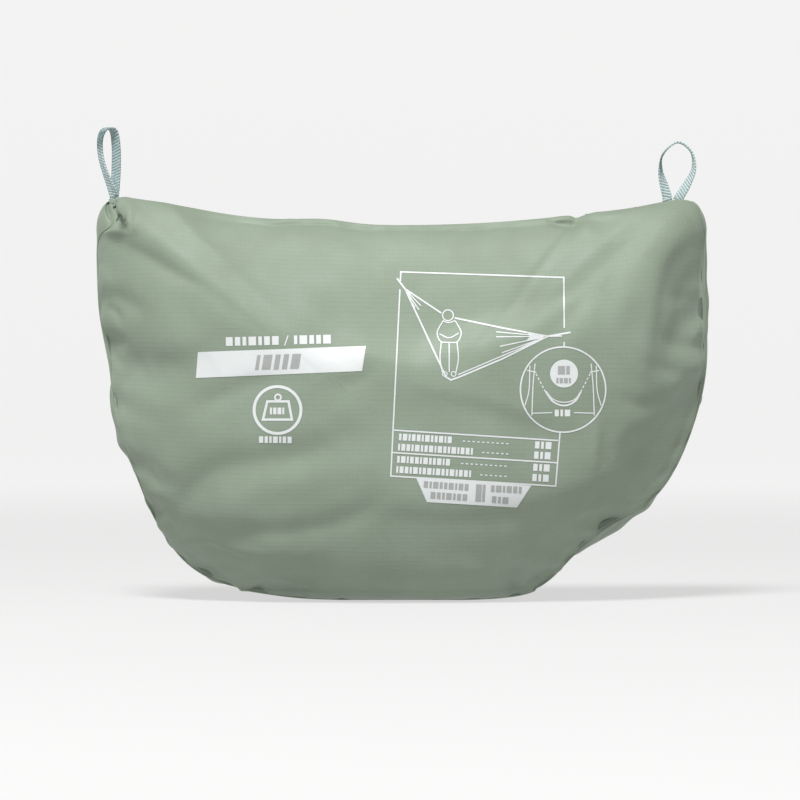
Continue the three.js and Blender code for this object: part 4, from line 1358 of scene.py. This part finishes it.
def rounded_copy(node, name, radius):
    """A copy of a CAD node with its flat faces whole again and its edges rounded."""
    mesh = nodes[node].data.copy()
    mesh.name = name
    work = bmesh.new()
    work.from_mesh(mesh)
    bmesh.ops.remove_doubles(work, verts=work.verts, dist=1e-6)
    bmesh.ops.dissolve_limit(work, angle_limit=math.radians(2), verts=work.verts, edges=work.edges)
    work.to_mesh(mesh)
    work.free()
    obj = link(name, mesh)
    bevel = obj.modifiers.new("bevel", "BEVEL")
    bevel.width = radius
    bevel.segments = 3
    bevel.limit_method = "ANGLE"
    bevel.angle_limit = math.radians(35)
    apply_modifiers(obj)
    polygons = obj.data.polygons
    polygons.foreach_set("use_smooth", np.ones(len(polygons), bool))
    sharpen = obj.data.attributes.get("sharp_edge")
    if sharpen:
        obj.data.attributes.remove(sharpen)
    weighted = obj.modifiers.new("weighted", "WEIGHTED_NORMAL")
    weighted.keep_sharp = True
    return obj


ZIP_TAPE = tape_material()
NYLON_COIL = nylon_coil_material()
ZIP_METAL = metal_material("zip_metal", (0.3, 0.31, 0.31), (0.62, 0.63, 0.63), 0.34, brushed=False)
ALUMINIUM = metal_material("brushed_aluminium", (0.62, 0.64, 0.66), (0.85, 0.86, 0.87), 0.3, brushed=True)
STEEL = metal_material("pin_steel", (0.45, 0.45, 0.46), (0.72, 0.72, 0.72), 0.28, brushed=False)

for name, side in (("front", -1), ("back", 1)):
    tape = make_tape(f"zip_tape_woven_{name}", side)
    finish_piece(tape, "pouch", "zip_tape", ZIP_TAPE, f"zip_tape_{name}")
    coil = make_coil(f"zip_coil_wound_{name}", side)
    finish_piece(coil, "pouch", "zip_coil", NYLON_COIL, f"zip_coil_{name}")

HARD_PARTS = [
    # CAD node, body, record slot, material, edge radius in millimetres
    ("zip_slider", "zip_slider", "zip_metal", ZIP_METAL, 0.3),
    ("zip_pull", "zip_pull", "zip_metal", ZIP_METAL, 0.35),
    ("zip_top_stop_front", "pouch", "zip_metal", ZIP_METAL, 0.3),
    ("zip_top_stop_back", "pouch", "zip_metal", ZIP_METAL, 0.3),
    ("zip_bottom_stop", "pouch", "zip_metal", ZIP_METAL, 0.3),
    ("carabiner_left", "pouch", "aluminium", ALUMINIUM, 0.3),
    ("carabiner_right", "pouch", "aluminium", ALUMINIUM, 0.3),
    ("gate_left", "left_gate", "aluminium", ALUMINIUM, 0.3),
    ("gate_right", "right_gate", "aluminium", ALUMINIUM, 0.3),
    ("gate_pin_left", "pouch", "steel", STEEL, 0.2),
    ("gate_pin_right", "pouch", "steel", STEEL, 0.2),
]
for node, body, slot, material, radius in HARD_PARTS:
    finish_piece(rounded_copy(node, f"{node}_rounded", radius * MM), body, slot, material, node)


# ---------------------------------------------------------------- what lies inside
BED_INSET = 10 * MM
BED_HALF_DEPTH = HALF_DEPTH - 6 * MM
BED_TOP_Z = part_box("hammock_bed")[1].z
LAYERS = 152
ROPE_LENGTH = 2.5
ROPE_DIAMETER = 4.2 * MM
ROPE_LEAD = 12 * MM  # the rope's first stretch, before it is wound
TURN_STEPS = 48
MOST_TURNS = 40
CORD_DIAMETER = 5 * MM
TIE_THICKNESS = 1.2 * MM
TIE_CORNER = 5 * MM
CHANNEL_DIP = 14 * MM  # how far the folded cloth lies lower round each gathering cord


LAYER_GRID = (20, 9)  # cells across a layer, and rows of points down it


def make_folded_cloth():
    """The hammock's cloth, laid in zigzag layers that fill the pouch up to the hardware."""
    columns, rows = LAYER_GRID
    gather_x = sum(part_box("gather_cord_right"), Vector()).x / 2
    vertices = []
    for number, level in enumerate(np.linspace(-0.97, 0.97, LAYERS)):
        share = (1 - level**2) ** (1 / FULLNESS)
        bearing = np.linspace(0, math.pi, 90)
        radius = (np.minimum(outline_radius(bearing), outline_radius(-bearing)) - BED_INSET) * share
        edge_x = radius * np.sin(bearing)
        edge_z = CORE_Z + radius * np.cos(bearing)
        low = edge_z[-1] + 3 * MM
        top = min(BED_TOP_Z, edge_z[0] - 4 * MM)
        steps = np.linspace(0, 1, rows) if number % 2 == 0 else np.linspace(1, 0, rows)
        for t in steps:
            z = low + (top - low) * t
            half = np.interp(-z, -edge_z, edge_x)
            for c in np.linspace(-1, 1, columns + 1):
                x = c * max(half, 12 * MM)
                y = level * BED_HALF_DEPTH
                dip = CHANNEL_DIP * bump(abs(x), gather_x, 6 * MM) * (1 * MM < y < 35 * MM) * t**6
                ripple = 0.12 * MM * math.sin(60 * x + 3.1 * number + 9 * t)
                vertices.append((x, y + ripple, z - dip))
    down = np.repeat(np.arange(LAYERS * rows) * 13 * MM, columns + 1)
    pattern = np.stack([np.array(vertices)[:, 0], down], 1)
    return make_object("hammock_cloth_folded", vertices, grid_faces(LAYERS * rows, columns + 1), pattern)


def oval_spot(walked, half, radius):
    """The place on a flat oval, as x and z from its middle, this far from the start of its lower run."""
    turn = math.pi * radius
    if walked < 2 * half:
        return -half + walked, -radius
    if walked < 2 * half + turn:
        angle = (walked - 2 * half) / radius - math.pi / 2
        return half + radius * math.cos(angle), radius * math.sin(angle)
    if walked < 4 * half + turn:
        return half - (walked - 2 * half - turn), radius
    angle = (walked - 4 * half - turn) / radius + math.pi / 2
    return -half + radius * math.cos(angle), radius * math.sin(angle)


def make_rope(word, side):
    """A tree rope wound into a flat oval hank: one layer of turns, and a second one back inside it."""
    low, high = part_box(f"tree_rope_{word}")
    centre = np.array([(low.x + high.x) / 2, 0, (low.z + high.z) / 2])
    pitch = ROPE_DIAMETER + 0.1 * MM
    outer = (high.z - low.z - ROPE_DIAMETER) / 2 - 0.05 * MM
    inner = outer - pitch
    straight = (high.x - low.x - ROPE_DIAMETER) / 2 - outer
    first_y = high.y - ROPE_DIAMETER / 2 - 0.1 * MM
    turns = int((high.y - low.y) / pitch) - 1
    points = [np.array([centre[0] - side * (straight + 4 * MM), 16 * MM, centre[2] - outer])]
    points.append(points[0] + np.array([side * 0.4 * MM, -6 * MM, 0]))
    points.append(points[0] + np.array([side * 3.5 * MM, -12 * MM, 0]))
    length = 0.0
    for k in range(TURN_STEPS * MOST_TURNS):
        turn = k / TURN_STEPS
        down = min(turn, turns)
        up = max(0.0, turn - turns - 0.5)
        radius = outer + (inner - outer) * float(smoothstep(turn, turns, turns + 0.5))
        perimeter = 4 * straight + 2 * math.pi * radius
        x, z = oval_spot((turn % 1) * perimeter, straight, radius)
        y = first_y - pitch * down + pitch * up
        spot = np.array([centre[0] + side * x, y, centre[2] + z])
        length += np.linalg.norm(spot - points[-1])
        points.append(spot)
        if length > ROPE_LENGTH - ROPE_LEAD:
            break
    path = curve_through(points, int(length / (3 * MM)))
    return tube_mesh(f"tree_rope_wound_{word}", path, ROPE_DIAMETER / 2, 10), path


def braid_material(name, dark, light, diameter):
    """Braided cord: two families of strands that cross over each other round it."""
    n = Material(name, 0.66, specular=0.3, sheen=0.12)
    around, along, _ = n.split(n.coordinates("UV"))
    pitch = diameter * 0.55
    one = n.ribs(n.math("ADD", along, around), pitch)
    other = n.ribs(n.math("SUBTRACT", along, around), pitch)
    braid = n.math("MAXIMUM", one, other)
    fleck = n.noise(n.coordinates(), 1200.0, 2.0)
    colour = n.mix(n.spread(braid, 0.3, 1.0), dark, light)
    n.set("Base Color", n.mix(n.math("MULTIPLY", fleck, 0.3), colour, light))
    n.set("Normal", n.bump(braid, 0.25 * MM, 0.9))
    return n.made


def make_gather_cord(word):
    """The closed cord that draws one end of the hammock's cloth together and hangs in the carabiner."""
    low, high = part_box(f"gather_cord_{word}")
    centre = (low + high) / 2
    thickness = high.x - low.x
    reach = (high.y - low.y - thickness) / 2
    angle = np.linspace(0, 2 * math.pi, 96, endpoint=False)
    path = np.array(centre) + reach * np.stack([0 * angle, np.cos(angle), np.sin(angle)], 1)
    return tube_mesh(f"gather_cord_braided_{word}", path, thickness / 2 - 0.05 * MM, 12, closed=True)


def make_tie(word):
    """A flat elastic band round the middle of a hank."""
    low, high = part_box(f"rope_tie_{word}")
    middle = (low + high) / 2
    half_y = (high.y - low.y) / 2 - TIE_THICKNESS / 2 - 0.1 * MM
    half_z = (high.z - low.z) / 2 - TIE_THICKNESS / 2 - 0.1 * MM
    path = []
    for angle in np.linspace(0, 2 * math.pi, 120, endpoint=False):
        c, s = math.cos(angle), math.sin(angle)
        y = math.copysign(half_y - TIE_CORNER, c) + TIE_CORNER * c
        z = math.copysign(half_z - TIE_CORNER, s) + TIE_CORNER * s
        path.append((middle.x, middle.y + y, middle.z + z, 1.0, 0, 0))
    line = curve_through([*path, *path[:2]], 260)
    width = high.x - low.x - 0.4 * MM
    return ribbon_mesh(f"hank_tie_{word}", line, width, TIE_THICKNESS, 1.1 * MM, 0.04 * MM)


# The folded tape's section in millimetres: distance inward from the seam, and depth.
BINDING_OUTSIDE = [(1.6, -0.8), (5.3, -0.8), (5.3, 0.8), (1.6, 0.8)]
BINDING_SECTION = BINDING_OUTSIDE + [(1.6, 0.52), (4.9, 0.52), (4.9, -0.52), (1.6, -0.52)]


def make_binding():
    """A folded tape sewn over the raw edges inside the seam."""
    path = welt_path[12:-12:2]
    inward = unit((np.array([0, 0, CORE_Z]) - path) * [1, 0, 1])
    count, sides = len(path), len(BINDING_SECTION)
    reach, y = np.array(BINDING_SECTION).T * MM
    vertices = path[:, None] + inward[:, None] * reach[:, None] + np.outer(y, [0, 1, 0])
    vertices[..., 2] = np.maximum(vertices[..., 2], 0.6 * MM)
    faces = tube_faces(count, sides, capped=False)
    for first in (0, (count - 1) * sides):
        ends = [(0, 1, 6, 7), (1, 2, 5, 6), (2, 3, 4, 5)]
        faces += [tuple(first + i for i in (end if first else end[::-1])) for end in ends]
    along = np.repeat(np.arange(count) * 1.2 * MM, sides)
    pattern = np.stack([np.tile(reach, count), along], 1)
    return make_object("seam_binding_tape", vertices.reshape(-1, 3), faces, pattern)


ROPE_BRAID = braid_material("rope_braid", (0.32, 0.33, 0.31), (0.6, 0.61, 0.58), ROPE_DIAMETER)
CORD_BRAID = braid_material("cord_braid", (0.035, 0.04, 0.038), (0.11, 0.12, 0.115), CORD_DIAMETER)
BED_CLOTH = ripstop_material("hammock_cloth", (0.3, 0.4, 0.32), (0.26, 0.35, 0.28))

bed = make_folded_cloth()
finish_piece(bed, "pouch", "ripstop", BED_CLOTH, "hammock_bed")
finish_piece(make_binding(), "pouch", "zip_tape", ZIP_TAPE, "seam_binding")
for word, side in (("left", -1), ("right", 1)):
    finish_piece(make_gather_cord(word), "pouch", "cord", CORD_BRAID, f"gather_cord_{word}")
    finish_piece(make_tie(word), "pouch", "cord", ZIP_TAPE, f"rope_tie_{word}")
    rope, path = make_rope(word, side)
    finish_piece(rope, "pouch", "rope", ROPE_BRAID, f"tree_rope_{word}")


# ---------------------------------------------------------------- stage and light
FLOOR_RADIUS = 3.0
BEND_RADIUS = 1.0
WALL_HEIGHT = 1.2
SPOKES = 96
GLOW_NEAR = 0.58  # how brightly the paper glows under the pouch, where the key light adds to it
GLOW_FAR = 0.74
SKY_STRENGTH = 0.2
SKY_TINT = (1.0, 0.96, 0.88)


def make_stage():
    """A pale round floor whose edge curves up into a wall, of evenly lit studio paper."""
    angles = [math.pi / 2 * i / 8 for i in range(9)]
    profile = [(FLOOR_RADIUS + BEND_RADIUS * math.sin(a), BEND_RADIUS * (1 - math.cos(a))) for a in angles]
    profile = [(0.5, 0.0), (1.5, 0.0), *profile, (FLOOR_RADIUS + BEND_RADIUS, BEND_RADIUS + WALL_HEIGHT)]
    vertices = [(0, 0, 0)]
    for radius, height in profile:
        for k in range(SPOKES):
            angle = 2 * math.pi * k / SPOKES
            vertices.append((radius * math.cos(angle), radius * math.sin(angle), height))
    faces = [(0, 1 + k, 1 + (k + 1) % SPOKES) for k in range(SPOKES)]
    for ring in range(len(profile) - 1):
        for k in range(SPOKES):
            a = 1 + ring * SPOKES + k
            b = 1 + ring * SPOKES + (k + 1) % SPOKES
            faces.append((a, a + SPOKES, b + SPOKES, b))
    floor = make_object("studio_floor", vertices, faces)
    n = Material("studio_paper", 0.95, specular=0.1)
    grain = n.noise(n.coordinates(), 300.0, 2.0)
    n.set("Base Color", n.mix(grain, (0.19, 0.19, 0.19), (0.2, 0.2, 0.2)))
    distance = n.tree.nodes.new("ShaderNodeVectorMath")
    distance.operation = "LENGTH"
    n.join(n.coordinates(), distance.inputs[0])
    n.set("Emission Color", (1, 1, 1, 1))
    glow = n.spread(distance.outputs["Value"], 0.3, 2.6, GLOW_NEAR, GLOW_FAR, smooth=True)
    n.set("Emission Strength", glow)
    floor.data.materials.append(n.made)


def area_light(name, spot, size, power):
    """A round lamp aimed at the middle of the pouch."""
    data = bpy.data.lights.new(name, "AREA")
    data.shape = "DISK"
    data.size = size
    data.energy = power
    light = link(name, data)
    light.location = spot
    light.rotation_euler = (Vector((0, 0, CORE_Z)) - Vector(spot)).to_track_quat("-Z", "Y").to_euler()


def make_light():
    world = bpy.data.worlds.new("studio_sky")
    world.use_nodes = True
    world.node_tree.nodes["Background"].inputs["Color"].default_value = (*SKY_TINT, 1)
    world.node_tree.nodes["Background"].inputs["Strength"].default_value = SKY_STRENGTH
    bpy.context.scene.world = world
    bpy.context.scene.view_settings.view_transform = "Standard"
    area_light("key", (-0.4, -1.25, 2.2), size=0.8, power=82)
    area_light("fill", (1.9, -1.9, 1.0), size=1.2, power=2)


make_stage()
make_light()
